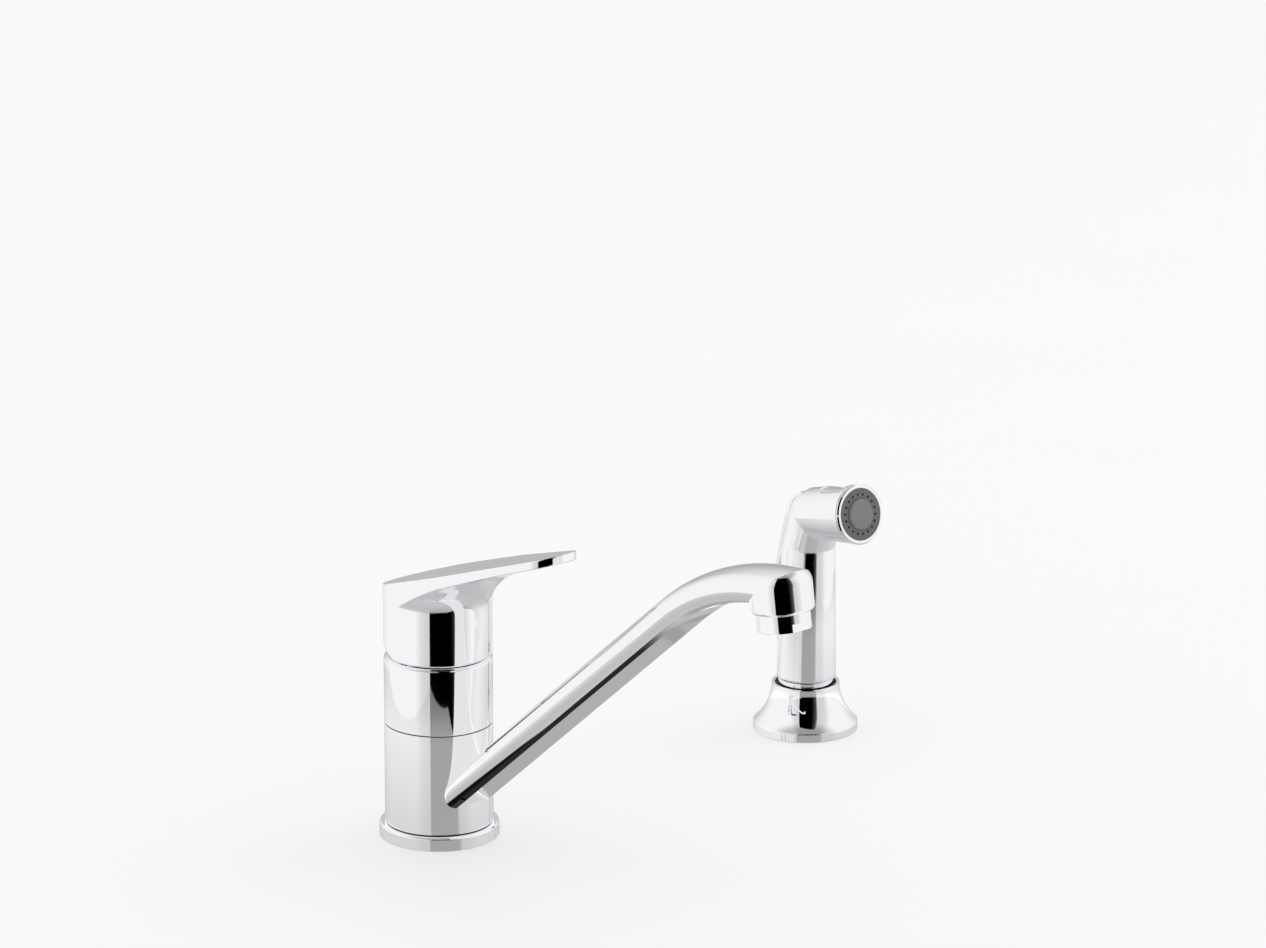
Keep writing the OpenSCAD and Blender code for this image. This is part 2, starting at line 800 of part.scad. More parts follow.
module spray_bell() {
    color(chrome) at_sprayer() rotate_extrude() difference() {
        square([bell_r, bell_h]);
        translate([rim_r + flare_r, bell_h]) circle(r = flare_r, $fn = 180);
        translate([bell_r - 0.4, bell_h - flare_up]) square([10, big]);
        translate([-eps, -eps]) square([guide_r + fit_gap + eps, big]);
        translate([0, -eps]) square([bell_gasket_r + fit_gap, gasket_t + eps]);
        translate([0, seat_z - guide_flange_t]) square([rim_r - 1.5, big]);
        translate([guide_r, gasket_t]) square([bell_gasket_r - guide_r - 4, 2.2]);
    }
}

module bell_gasket() {
    color(rubber) at_sprayer() ring(bell_gasket_r, guide_r + free_gap, gasket_t);
}

module spray_guide() {
    color([0.2, 0.2, 0.21]) at_sprayer() difference() {
        union() {
            translate([0, 0, -guide_len]) cylinder(r = guide_r, h = guide_len + seat_z);
            translate([0, 0, seat_z - guide_flange_t + fit_gap])
                cylinder(r = rim_r - 1.5 - fit_gap, h = guide_flange_t - fit_gap);
        }
        translate([0, 0, -guide_len - 1]) cylinder(r = guide_bore, h = big);
    }
}

guide_washer_t = 2.5;
guide_nut_h = 8;

module guide_washer() {
    color("lightgray") at_sprayer() ring(guide_r + 7, guide_r + fit_gap, guide_washer_t,
        -deck_t - guide_washer_t);
}

module guide_nut() {
    color("dimgray") at_sprayer() hex_nut(2 * guide_r + 10, guide_r + fit_gap, guide_nut_h,
        -deck_t - guide_washer_t - guide_nut_h);
}

// Hose coupling: its collar stands on the guide and shows below the grip
coupling_r = guide_bore - 0.4;
coupling_z = -6;
collar_r = guide_bore + 2.3;
collar_z = seat_z + free_gap;
coupling_top = bell_h + 2.5;
foot_z = coupling_top + free_gap;
coupling_neck_r = 6;
coupling_neck_h = 11;
clip_z = coupling_top + 6;
clip_t = 1.2;
clip_r = coupling_neck_r + 0.9;
hose_stub_r = 5;
hose_stub_len = 16;
hose_bore_r = 3.2;

module hose_coupling() {
    color(chrome) at_sprayer() difference() {
        union() {
            translate([0, 0, coupling_z]) cylinder(r1 = coupling_r - 2, r2 = coupling_r, h = 6);
            translate([0, 0, coupling_z + 6]) cylinder(r = coupling_r, h = coupling_top - coupling_z - 6);
            translate([0, 0, collar_z]) cylinder(r = collar_r, h = coupling_top - collar_z);
            translate([0, 0, coupling_z]) cylinder(r = coupling_neck_r,
                h = coupling_top - coupling_z + coupling_neck_h);
            translate([0, 0, coupling_z - hose_stub_len])
                cylinder(r = hose_stub_r, h = hose_stub_len + 1);
        }
        translate([0, 0, coupling_z - hose_stub_len - 1]) cylinder(r = hose_bore_r, h = big);
        ring(coupling_neck_r + 1, coupling_neck_r - 1, clip_t + 0.1, clip_z);
    }
}

module coupling_washer() {
    color(rubber) at_sprayer()
        ring(coupling_neck_r, hose_bore_r + fit_gap, 1.5, coupling_top + coupling_neck_h);
}

// Spring clip in the groove of the coupling, which keeps the sprayer on it
module coupling_clip() {
    color("lightgray") at_sprayer() difference() {
        ring(clip_r, coupling_neck_r - 1 + fit_gap, clip_t, clip_z + 0.05);
        translate([-1, 0, clip_z - 1]) cube([2, 10, 4]);
    }
}

// Sprayer
neck_z = spray_head_z - 15.1;
valve_z = neck_z - 6;
grip_h = (neck_z - foot_z) / cos(grip_lean);
foot_y = foot_z * tan(grip_lean);
neck_y = neck_z * tan(grip_lean);
back_r = head_back_d / 2;
face_r = face_d / 2;
nozzle_r = face_r - face_rim;
ring_len = 1.4;
ring_slit = 0.3;
face_depth = 0.9;
face_t = 0.8;
head_len = spray_head_len - ring_len - ring_slit;
back_start = 5.8;
head_bore_r = 2.4;
pad_start = 15.5;
pad_r = 6.5;
pad_depth = 0.5;
valve_r = 6.2;
valve_back = -3.5;
valve_front = 11.4;
valve_seat_y = 0.4;
feed_y = 7;
feed_r = 3.5;
feed_z = coupling_top + coupling_neck_h + 2;
riser_y = -1.6;
riser_r = 2;
plunger_r = 1.9;
seat_t = 2.4;

// Trigger: a plate behind the grip that curves over the back of the head
curve_y = 4.9;
curve_z = spray_head_z - 1;
curve_r = 13.2;
curve_end = 97;
pin_y = -1;
pin_z = spray_head_z + 5.3;
trigger_pin_r = 1;
lug_r = 2;
lug_w = 4.6;
swing = asin(valve_travel / (pin_z - valve_z));
end_y = curve_y - curve_r * cos(trigger_slope) - trigger_len * sin(trigger_slope);
end_z = curve_z + curve_r * sin(trigger_slope) - trigger_len * cos(trigger_slope);
rest_z = end_z - trigger_w / 2 - 2.5;
rest_h = 15;
rest_r = 24;

// Side view of the plate in the plane of the front and the height, larger by grow on all sides
// and by cover on its outer side
module trigger_side(grow, cover = 0) {
    past = 2 * (curve_r + cover);
    translate([curve_y, curve_z]) rotate(180 - trigger_slope) {
        difference() {
            circle(r = curve_r + grow + cover);
            circle(r = curve_r - trigger_t - grow);
            translate([-past, 0]) square(2 * past);
            rotate(curve_end + trigger_slope - 180 - grow * 4) translate([-past, -2 * past])
                square(2 * past);
        }
        translate([curve_r - trigger_t - grow, 0])
            square([trigger_t + 2 * grow + cover, trigger_len + trigger_w / 2 + grow]);
    }
}

module across_side(width) {
    at_sprayer() side_frame() translate([0, 0, -width / 2]) linear_extrude(width) children();
}

// The plate's side view while it turns on its pin
module turned(angle) {
    translate([pin_y, pin_z]) rotate(angle) translate([-pin_y, -pin_z]) children();
}

// Local z runs out of the nozzle along the head
module head_frame() {
    at_sprayer() translate([0, 0, spray_head_z]) rotate([90 - head_tilt, 0, 0]) children();
}

module across_neck(z, back, len, radius) {
    at_sprayer() translate([0, -back, z]) rotate([90, 0, 0]) cylinder(r = radius, h = len);
}

module grip_skin() {
    at_sprayer() translate([0, -foot_y, foot_z]) {
        rotate([grip_lean, 0, 0]) translate([0, 0, 0.6])
            cylinder(r1 = grip_d / 2, r2 = neck_d / 2, h = grip_h - 0.6);
        cylinder(r1 = grip_d / 2 - 1, r2 = grip_d / 2 - 0.1, h = 0.8);
    }
    hull() {
        at_sprayer() translate([0, -neck_y, neck_z - 1])
            cylinder(r = neck_d / 2 - 0.05, h = 1, $fn = 64);
        head_frame() translate([0, 0, back_start]) sphere(r = back_r - 0.1, $fn = 48);
    }
    head_frame() translate([0, 0, back_start]) sphere(r = back_r);
    head_frame() translate([0, 0, back_start])
        cylinder(r1 = back_r, r2 = face_r - 0.2, h = head_len - back_start);
    // Rest below the trigger, which curves out of the back of the grip
    across_side(trigger_w) difference() {
        translate([-grip_d / 2 - 6, rest_z - rest_h]) square([grip_d / 2 + 4, rest_h]);
        translate([foot_y - grip_d / 2 + 0.6 - rest_r, rest_z - rest_h]) circle(r = rest_r);
    }
}

module sprayer_body() {
    color(chrome) difference() {
        grip_skin();
        at_sprayer() cylinder(r = coupling_neck_r + run_gap, h = feed_z + 3.5);
        at_sprayer() translate([0, 0, clip_z - 0.3]) cylinder(r = clip_r + free_gap, h = clip_t + 0.7);
        at_sprayer() translate([0, -feed_y, feed_z]) cylinder(r = feed_r, h = valve_z - feed_z);
        across_neck(valve_z, valve_back, valve_front - valve_back, valve_r);
        across_neck(valve_z, -20, 20, plunger_r + run_gap);
        at_sprayer() translate([0, -riser_y, valve_z]) cylinder(r = riser_r, h = spray_head_z - valve_z);
        head_frame() translate([0, 0, -3]) cylinder(r = head_bore_r, h = head_len + 3);
        head_frame() translate([0, 0, 14]) cylinder(r = nozzle_r - 2, h = big);
        head_frame() translate([0, 0, head_len - 6]) cylinder(r = nozzle_r, h = big);
        across_side(trigger_w + 2 * free_gap) for (a = [0, 0.5, 1]) turned(a * swing)
            trigger_side(free_gap, 6);
        across_side(lug_w + 2 * free_gap) {
            translate([pin_y, pin_z]) circle(r = lug_r + free_gap);
            for (a = [0, 1]) turned(a * swing) translate([pin_y - 6, pin_z - lug_r - free_gap])
                square([6, 2 * (lug_r + free_gap)]);
        }
        at_sprayer() translate([-8, -pin_y, pin_z]) rotate([0, 90, 0])
            cylinder(r = trigger_pin_r, h = 16);
        // Flat pad under the head
        head_frame() difference() {
            translate([0, 0, pad_start + pad_r]) rotate([-90, 0, 0]) {
                cylinder(r = pad_r, h = 20);
                translate([-pad_r, -head_len + pad_start + pad_r + 3, 0])
                    cube([2 * pad_r, head_len - pad_start - pad_r - 3, 20]);
            }
            cylinder(r = back_r + 0.6 - pad_depth, h = 60);
        }
    }
}

module face_ring() {
    color(chrome) head_frame() translate([0, 0, head_len + ring_slit]) difference() {
        union() {
            rotate_extrude() polygon([
                [0, 0],
                [face_r - 0.3, 0],
                [face_r, 0.3],
                [face_r, ring_len - 0.7],
                [face_r - 0.7, ring_len],
                [0, ring_len]
            ]);
            translate([0, 0, -ring_slit - 5]) cylinder(r = nozzle_r - fit_gap, h = 5.5);
        }
        translate([0, 0, -10]) cylinder(r = nozzle_r - 2, h = big);
        translate([0, 0, ring_len - face_depth]) cylinder(r = nozzle_r + fit_gap, h = big);
    }
}

face_z = head_len + ring_slit + ring_len - face_depth;
hole_ring_r = nozzle_r * 0.76;

module spray_face() {
    color([0.3, 0.3, 0.31]) head_frame() translate([0, 0, face_z]) difference() {
        cylinder(r = nozzle_r, h = face_t);
        for (i = [0:nozzle_holes - 1]) rotate(i * 360 / nozzle_holes)
            translate([0, hole_ring_r, -eps]) cylinder(d = nozzle_hole_d, h = 2, $fn = 24);
        translate([0, 0, -eps]) cylinder(r = 2, h = 2);
    }
}

module face_button() {
    color([0.36, 0.36, 0.37]) head_frame() translate([0, 0, face_z]) {
        translate([0, 0, face_t]) rotate_extrude() polygon([
            [0, 0],
            [button_d / 2, 0],
            [button_d / 2, 0.7],
            [button_d / 2 - 0.5, 1.2],
            [0, 1.2]
        ]);
        translate([0, 0, -5]) cylinder(r = 2 - fit_gap, h = 5 + face_t + 0.2);
    }
}

module flow_disc() {
    color(white_plastic) head_frame() translate([0, 0, face_z - 4]) difference() {
        cylinder(r = nozzle_r - 2 - fit_gap, h = 2);
        for (i = [0:5]) rotate(i * 60) translate([0, 6.4, -eps]) cylinder(r = 1.6, h = 3);
        translate([0, 0, -eps]) cylinder(r = 2, h = 3);
    }
}

module valve_seat() {
    color(brass) at_sprayer() translate([0, -valve_seat_y, valve_z]) rotate([90, 0, 0])
        ring(valve_r - fit_gap, plunger_r + 1, seat_t);
}

plunger_back = end_y + (valve_z + plunger_r - end_z) * tan(trigger_slope)
    + trigger_t / cos(trigger_slope) + free_gap;
plunger_head = valve_seat_y + seat_t + 1.2;
plunger_head_t = 2;

module valve_plunger() {
    color("lightgray") {
        across_neck(valve_z, plunger_back, plunger_head - plunger_back + 1, plunger_r);
        across_neck(valve_z, plunger_head, plunger_head_t, 4.6);
    }
}

module valve_seal() {
    color(rubber) at_sprayer() translate([0, -plunger_head + 1, valve_z]) rotate([90, 0, 0])
        ring(4.4, plunger_r + fit_gap, 1);
}

// Return spring between the plunger head and the front wall of the neck
spring_turns = 3.5;
spring_wire = 0.7;
spring_r = 3.6;
spring_steps = 14;
spring_start = plunger_head + plunger_head_t + spring_wire / 2 + 0.05;
spring_len = valve_front - spring_start - spring_wire / 2 - 0.05;

module valve_spring() {
    rings = spring_turns * spring_steps;
    points = [for (i = [0:rings]) let (a = 360 * i / spring_steps) for (k = [0:5])
        let (r = spring_r + spring_wire / 2 * cos(60 * k))
        [r * cos(a), r * sin(a), spring_len * i / rings + spring_wire / 2 * sin(60 * k)]];
    walls = [for (i = [0:rings - 1]) for (k = [0:5]) for (half = [0, 1])
        half == 0
            ? [i * 6 + k, (i + 1) * 6 + k, i * 6 + (k + 1) % 6]
            : [i * 6 + (k + 1) % 6, (i + 1) * 6 + k, (i + 1) * 6 + (k + 1) % 6]];
    ends = [[for (k = [0:5]) k], [for (k = [5:-1:0]) rings * 6 + k]];
    color("lightgray") at_sprayer() translate([0, -spring_start, valve_z]) rotate([90, 0, 0])
        polyhedron(points, concat(walls, ends));
}

module trigger() {
    color(chrome) difference() {
        union() {
            across_side(trigger_w) trigger_side(0);
            across_side(lug_w) {
                translate([pin_y, pin_z]) circle(r = lug_r);
                translate([pin_y - 4.3, pin_z - lug_r + 0.1]) square([4.3, 2 * lug_r - 0.2]);
            }
        }
        // Round lower end, a little wider than the plate
        at_sprayer() translate([0, -end_y, end_z]) rotate([trigger_slope, 0, 0]) difference() {
            translate([-trigger_w, -3 * trigger_t, -trigger_w])
                cube([2 * trigger_w, 6 * trigger_t, trigger_w]);
            translate([0, 4 * trigger_t, 0]) rotate([90, 0, 0])
                cylinder(d = trigger_w + 0.3, h = 8 * trigger_t);
        }
        at_sprayer() translate([-big / 2, -pin_y, pin_z]) rotate([0, 90, 0])
            cylinder(r = trigger_pin_r + run_gap, h = big);
    }
}

module trigger_pin() {
    color("lightgray") at_sprayer() translate([-7.5, -pin_y, pin_z]) rotate([0, 90, 0])
        cylinder(r = trigger_pin_r, h = 15);
}

base_ring();
deck_gasket();
valve_body();
mounting_shank();
clamp_gasket();
clamp_washer();
mounting_nut();
hot_tube();
cold_tube();
spray_outlet();
upper_shell();
trim_ring();
spout_seals();
lower_glide_ring();
upper_glide_ring();
diverter_sleeve();
diverter_seal();
diverter_piston();
cartridge_base();
port_seals();
fixed_disc();
moving_disc();
disc_carrier();
cartridge_housing();
retaining_nut();
turret();
stem_pin();
lever_stem();
handle();
set_screw();
screw_plug();
spout();
aerator_collar();
aerator_screen();
aerator_washer();
spray_bell();
bell_gasket();
spray_guide();
guide_washer();
guide_nut();
hose_coupling();
coupling_washer();
coupling_clip();
sprayer_body();
face_ring();
spray_face();
face_button();
flow_disc();
valve_seat();
trigger_pin();
trigger();
valve_plunger();
valve_seal();
valve_spring();
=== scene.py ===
"""Dresses a single lever kitchen faucet with a side sprayer, in polished chrome on a pale table."""

import math

import bpy
from bpy.props import FloatProperty, FloatVectorProperty, IntProperty, PointerProperty
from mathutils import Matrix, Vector


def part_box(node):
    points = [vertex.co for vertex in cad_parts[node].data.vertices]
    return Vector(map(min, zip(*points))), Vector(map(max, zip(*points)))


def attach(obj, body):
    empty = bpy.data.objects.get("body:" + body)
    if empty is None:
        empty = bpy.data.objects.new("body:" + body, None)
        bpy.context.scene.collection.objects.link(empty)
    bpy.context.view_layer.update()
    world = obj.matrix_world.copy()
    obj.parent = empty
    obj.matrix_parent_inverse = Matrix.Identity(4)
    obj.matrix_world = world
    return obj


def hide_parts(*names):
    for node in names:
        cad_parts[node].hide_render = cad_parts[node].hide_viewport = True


bl_info = {
    "name": "Kitchen Faucet with Side Sprayer",
    "version": (1, 0, 0),
    "blender": (4, 5, 0),
    "location": "View3D > Sidebar > Faucet",
    "description": "Materials, threads and studio for a chrome kitchen faucet",
    "category": "Object",
}

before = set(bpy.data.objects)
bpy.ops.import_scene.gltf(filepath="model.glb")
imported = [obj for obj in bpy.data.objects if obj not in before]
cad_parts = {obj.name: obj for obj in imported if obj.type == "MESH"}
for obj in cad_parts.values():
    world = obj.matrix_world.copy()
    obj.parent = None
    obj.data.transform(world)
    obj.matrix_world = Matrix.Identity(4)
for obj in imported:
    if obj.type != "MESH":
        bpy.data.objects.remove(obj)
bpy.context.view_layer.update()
MM = 0.001


class FaucetFinishes(bpy.types.PropertyGroup):
    """Colours and roughness of the faucet's materials."""

    chrome: FloatVectorProperty(
        name="Chrome", description="Colour of the polished plating", subtype="COLOR",
        size=3, min=0, max=1, default=(0.94, 0.945, 0.965))
    chrome_roughness: FloatProperty(
        name="Chrome roughness", description="Roughness of the polished plating",
        min=0, max=1, default=0.03, subtype="FACTOR")
    edge_radius: FloatProperty(
        name="Edge radius", description="Radius that polishing leaves on a sharp edge",
        min=0, default=0.4 * MM, unit="LENGTH", precision=5)
    lever_edge: FloatProperty(
        name="Lever edge", description="Radius of the lever's polished edges",
        min=0, default=1 * MM, unit="LENGTH", precision=5)
    sprayer_edge: FloatProperty(
        name="Sprayer edge", description="Radius of the soft turns of the sprayer's body",
        min=0, default=1.6 * MM, unit="LENGTH", precision=5)
    arm_edge: FloatProperty(
        name="Arm edge", description="Radius of the spout's polished edges",
        min=0, default=0.1 * MM, unit="LENGTH", precision=5)
    # Painted shade: the arm's underside is darkened in its base colour by this factor
    arm_painted_shade: FloatProperty(
        name="Arm painted shade", description="Brightness of the arm's underside, compared with its top",
        min=0, max=1, default=0.68, subtype="FACTOR")
    # Painted glow: where other chrome mirrors the spout, it shows this flat emission instead of its
    # own reflection
    arm_painted_reflection_glow: FloatProperty(
        name="Arm painted glow", description="Brightness of the spout where other chrome mirrors it",
        min=0, default=0.82)
    # Colour of a painted dark reflection: the line along the arm's lower sides is painted into the
    # base colour
    arm_painted_reflection_line: FloatVectorProperty(
        name="Arm painted reflection and shade", description="Colour of the dark line along the arm", subtype="COLOR",
        size=3, min=0, max=1, default=(0.0, 0.0, 0.0))
    brass: FloatVectorProperty(
        name="Brass", description="Colour of machined brass", subtype="COLOR",
        size=3, min=0, max=1, default=(0.72, 0.52, 0.24))
    copper: FloatVectorProperty(
        name="Copper", description="Colour of drawn copper tube", subtype="COLOR",
        size=3, min=0, max=1, default=(0.78, 0.38, 0.22))
    steel: FloatVectorProperty(
        name="Steel", description="Colour of stainless steel", subtype="COLOR",
        size=3, min=0, max=1, default=(0.6, 0.6, 0.61))
    rubber: FloatVectorProperty(
        name="Rubber", description="Colour of the gaskets and seals", subtype="COLOR",
        size=3, min=0, max=1, default=(0.018, 0.018, 0.019))
    glide: FloatVectorProperty(
        name="Glide plastic", description="Colour of the glide rings", subtype="COLOR",
        size=3, min=0, max=1, default=(0.03, 0.03, 0.032))
    dark: FloatVectorProperty(
        name="Dark plastic", description="Colour of the cartridge and the moulded nut",
        subtype="COLOR", size=3, min=0, max=1, default=(0.06, 0.06, 0.066))
    white: FloatVectorProperty(
        name="White plastic", description="Colour of the diverter and the flow disc",
        subtype="COLOR", size=3, min=0, max=1, default=(0.72, 0.72, 0.7))
    blue: FloatVectorProperty(
        name="Blue plastic", description="Colour of the disc carrier", subtype="COLOR",
        size=3, min=0, max=1, default=(0.04, 0.16, 0.5))
    ceramic: FloatVectorProperty(
        name="Ceramic", description="Colour of the valve discs", subtype="COLOR",
        size=3, min=0, max=1, default=(0.86, 0.84, 0.8))
    face: FloatVectorProperty(
        name="Spray face", description="Colour of the grey spray face", subtype="COLOR",
        size=3, min=0, max=1, default=(0.12, 0.12, 0.122))
    button: FloatVectorProperty(
        name="Face button", description="Colour of the raised centre of the spray face",
        subtype="COLOR", size=3, min=0, max=1, default=(0.19, 0.19, 0.192))


class FaucetLever(bpy.types.PropertyGroup):
    """Sizes of the lever handle. The rest follow from the box of its CAD node."""

    top_slope: FloatProperty(
        name="Top slope", description="Slope of the lever's flat top",
        default=math.radians(18.4), unit="ROTATION")
    blade: FloatProperty(
        name="Blade", description="Thickness of the lever's blade", default=4 * MM,
        unit="LENGTH", precision=5)
    blade_round: FloatProperty(
        name="Blade rounding", description="Rounding where the cove ends at the lever's side",
        default=0.2 * MM, unit="LENGTH", precision=5)
    nose_radius: FloatProperty(
        name="Nose radius", description="Radius of the lever's nose in plan",
        default=14.7 * MM, unit="LENGTH", precision=5)
    shoulder_reach: FloatProperty(
        name="Shoulder reach", description="Distance of the shoulders in front of the axis",
        default=28 * MM, unit="LENGTH", precision=5)
    skirt_radius: FloatProperty(
        name="Skirt radius", description="Radius of the round skirt", default=25.1 * MM,
        unit="LENGTH", precision=5)
    skirt_wall: FloatProperty(
        name="Skirt wall", description="Wall of the skirt", default=3 * MM,
        unit="LENGTH", precision=5)
    cove_height: FloatProperty(
        name="Cove height", description="Height of the cove's lower end above the skirt's rim",
        default=25.3 * MM, unit="LENGTH", precision=5)
    cove_reach: FloatProperty(
        name="Cove reach", description="Reach of the cove at the front, compared with its height",
        default=1.6, min=1)
    cove_steps: IntProperty(
        name="Cove steps", description="Steps of the cove's section", default=32, min=8)
    cove_roof: FloatProperty(
        name="Cove roof", description="Height of the cove's lower end above the skirt's ceiling",
        default=1 * MM, unit="LENGTH", precision=5)
    socket_half: FloatProperty(
        name="Socket half", description="Half width of the square socket for the stem",
        default=3.95 * MM, unit="LENGTH", precision=5)
    socket_roof: FloatProperty(
        name="Socket roof", description="Height of the skirt's ceiling above the socket's end",
        default=2 * MM, unit="LENGTH", precision=5)
    boss_radius: FloatProperty(
        name="Boss radius", description="Radius of the boss around the socket",
        default=8.37 * MM, unit="LENGTH", precision=5)
    boss_rise: FloatProperty(
        name="Boss rise", description="Height of the boss's lower end above the skirt's rim",
        default=9.3 * MM, unit="LENGTH", precision=5)
    relief_slope: FloatProperty(
        name="Relief slope", description="Slope of the skirt's rim behind the axis",
        default=math.radians(22), unit="ROTATION")
    relief_start: FloatProperty(
        name="Relief start", description="Where the rim starts to rise behind the axis",
        default=1.5 * MM, unit="LENGTH", precision=5)
    plug_gap: FloatProperty(
        name="Plug gap", description="Gap around the plug over the set screw",
        default=0.15 * MM, unit="LENGTH", precision=5)
    plug_rise: FloatProperty(
        name="Plug rise", description="Height above the rim of the first row below the plug",
        default=10.7 * MM, unit="LENGTH", precision=5)
    plug_step: FloatProperty(
        name="Plug step", description="Height between the rows of the mesh around the plug",
        default=2.3 * MM, unit="LENGTH", precision=5)
    plug_wall: FloatProperty(
        name="Plug wall", description="Wall left behind the recess that holds the plug",
        default=0.4 * MM, unit="LENGTH", precision=5)


class FaucetThreads(bpy.types.PropertyGroup):
    """Sizes of the threads below the deck."""

    segments: IntProperty(
        name="Segments", description="Steps around a threaded piece", default=96, min=24)
    shank_pitch: FloatProperty(
        name="Shank pitch", description="Pitch of the thread on the shank",
        default=1.5 * MM, unit="LENGTH", precision=5)
    shank_depth: FloatProperty(
        name="Shank depth", description="Depth of the thread on the shank",
        default=0.8 * MM, unit="LENGTH", precision=5)
    guide_pitch: FloatProperty(
        name="Guide pitch", description="Pitch of the thread on the sprayer's guide",
        default=2.4 * MM, unit="LENGTH", precision=5)
    guide_depth: FloatProperty(
        name="Guide depth", description="Depth of the thread on the sprayer's guide",
        default=0.9 * MM, unit="LENGTH", precision=5)
    outlet_pitch: FloatProperty(
        name="Outlet pitch", description="Pitch of the thread of the hose outlet",
        default=1.41 * MM, unit="LENGTH", precision=5)
    outlet_depth: FloatProperty(
        name="Outlet depth", description="Depth of the thread of the hose outlet",
        default=0.7 * MM, unit="LENGTH", precision=5)
    shank_wall: FloatProperty(
        name="Shank wall", description="Wall of the shank", default=2.8 * MM,
        unit="LENGTH", precision=5)
    guide_radius: FloatProperty(
        name="Guide radius", description="Radius of the sprayer's guide", default=13.5 * MM,
        unit="LENGTH", precision=5)
    guide_wall: FloatProperty(
        name="Guide wall", description="Wall of the sprayer's guide", default=2.6 * MM,
        unit="LENGTH", precision=5)
    guide_flange: FloatProperty(
        name="Guide flange", description="Thickness of the guide's flange",
        default=2.95 * MM, unit="LENGTH", precision=5)
    outlet_radius: FloatProperty(
        name="Outlet radius", description="Radius of the tube to the hose outlet",
        default=4.76 * MM, unit="LENGTH", precision=5)
    outlet_wall: FloatProperty(
        name="Outlet wall", description="Wall of the tube to the hose outlet",
        default=1 * MM, unit="LENGTH", precision=5)
    outlet_length: FloatProperty(
        name="Outlet length", description="Length of the thick end of the hose outlet",
        default=14 * MM, unit="LENGTH", precision=5)
    outlet_chamfer: FloatProperty(
        name="Outlet chamfer", description="Chamfer at the end of the hose outlet",
        default=0.8 * MM, unit="LENGTH", precision=5)
    chamfer: FloatProperty(
        name="Chamfer", description="Chamfer at the lower end of the shank and the guide",
        default=1 * MM, unit="LENGTH", precision=5)
    plain_end: FloatProperty(
        name="Plain end", description="Length without a thread at a lower or inner end",
        default=2 * MM, unit="LENGTH", precision=5)
    deck_gap: FloatProperty(
        name="Deck gap", description="Depth below the deck's top at which a thread ends",
        default=1.5 * MM, unit="LENGTH", precision=5)


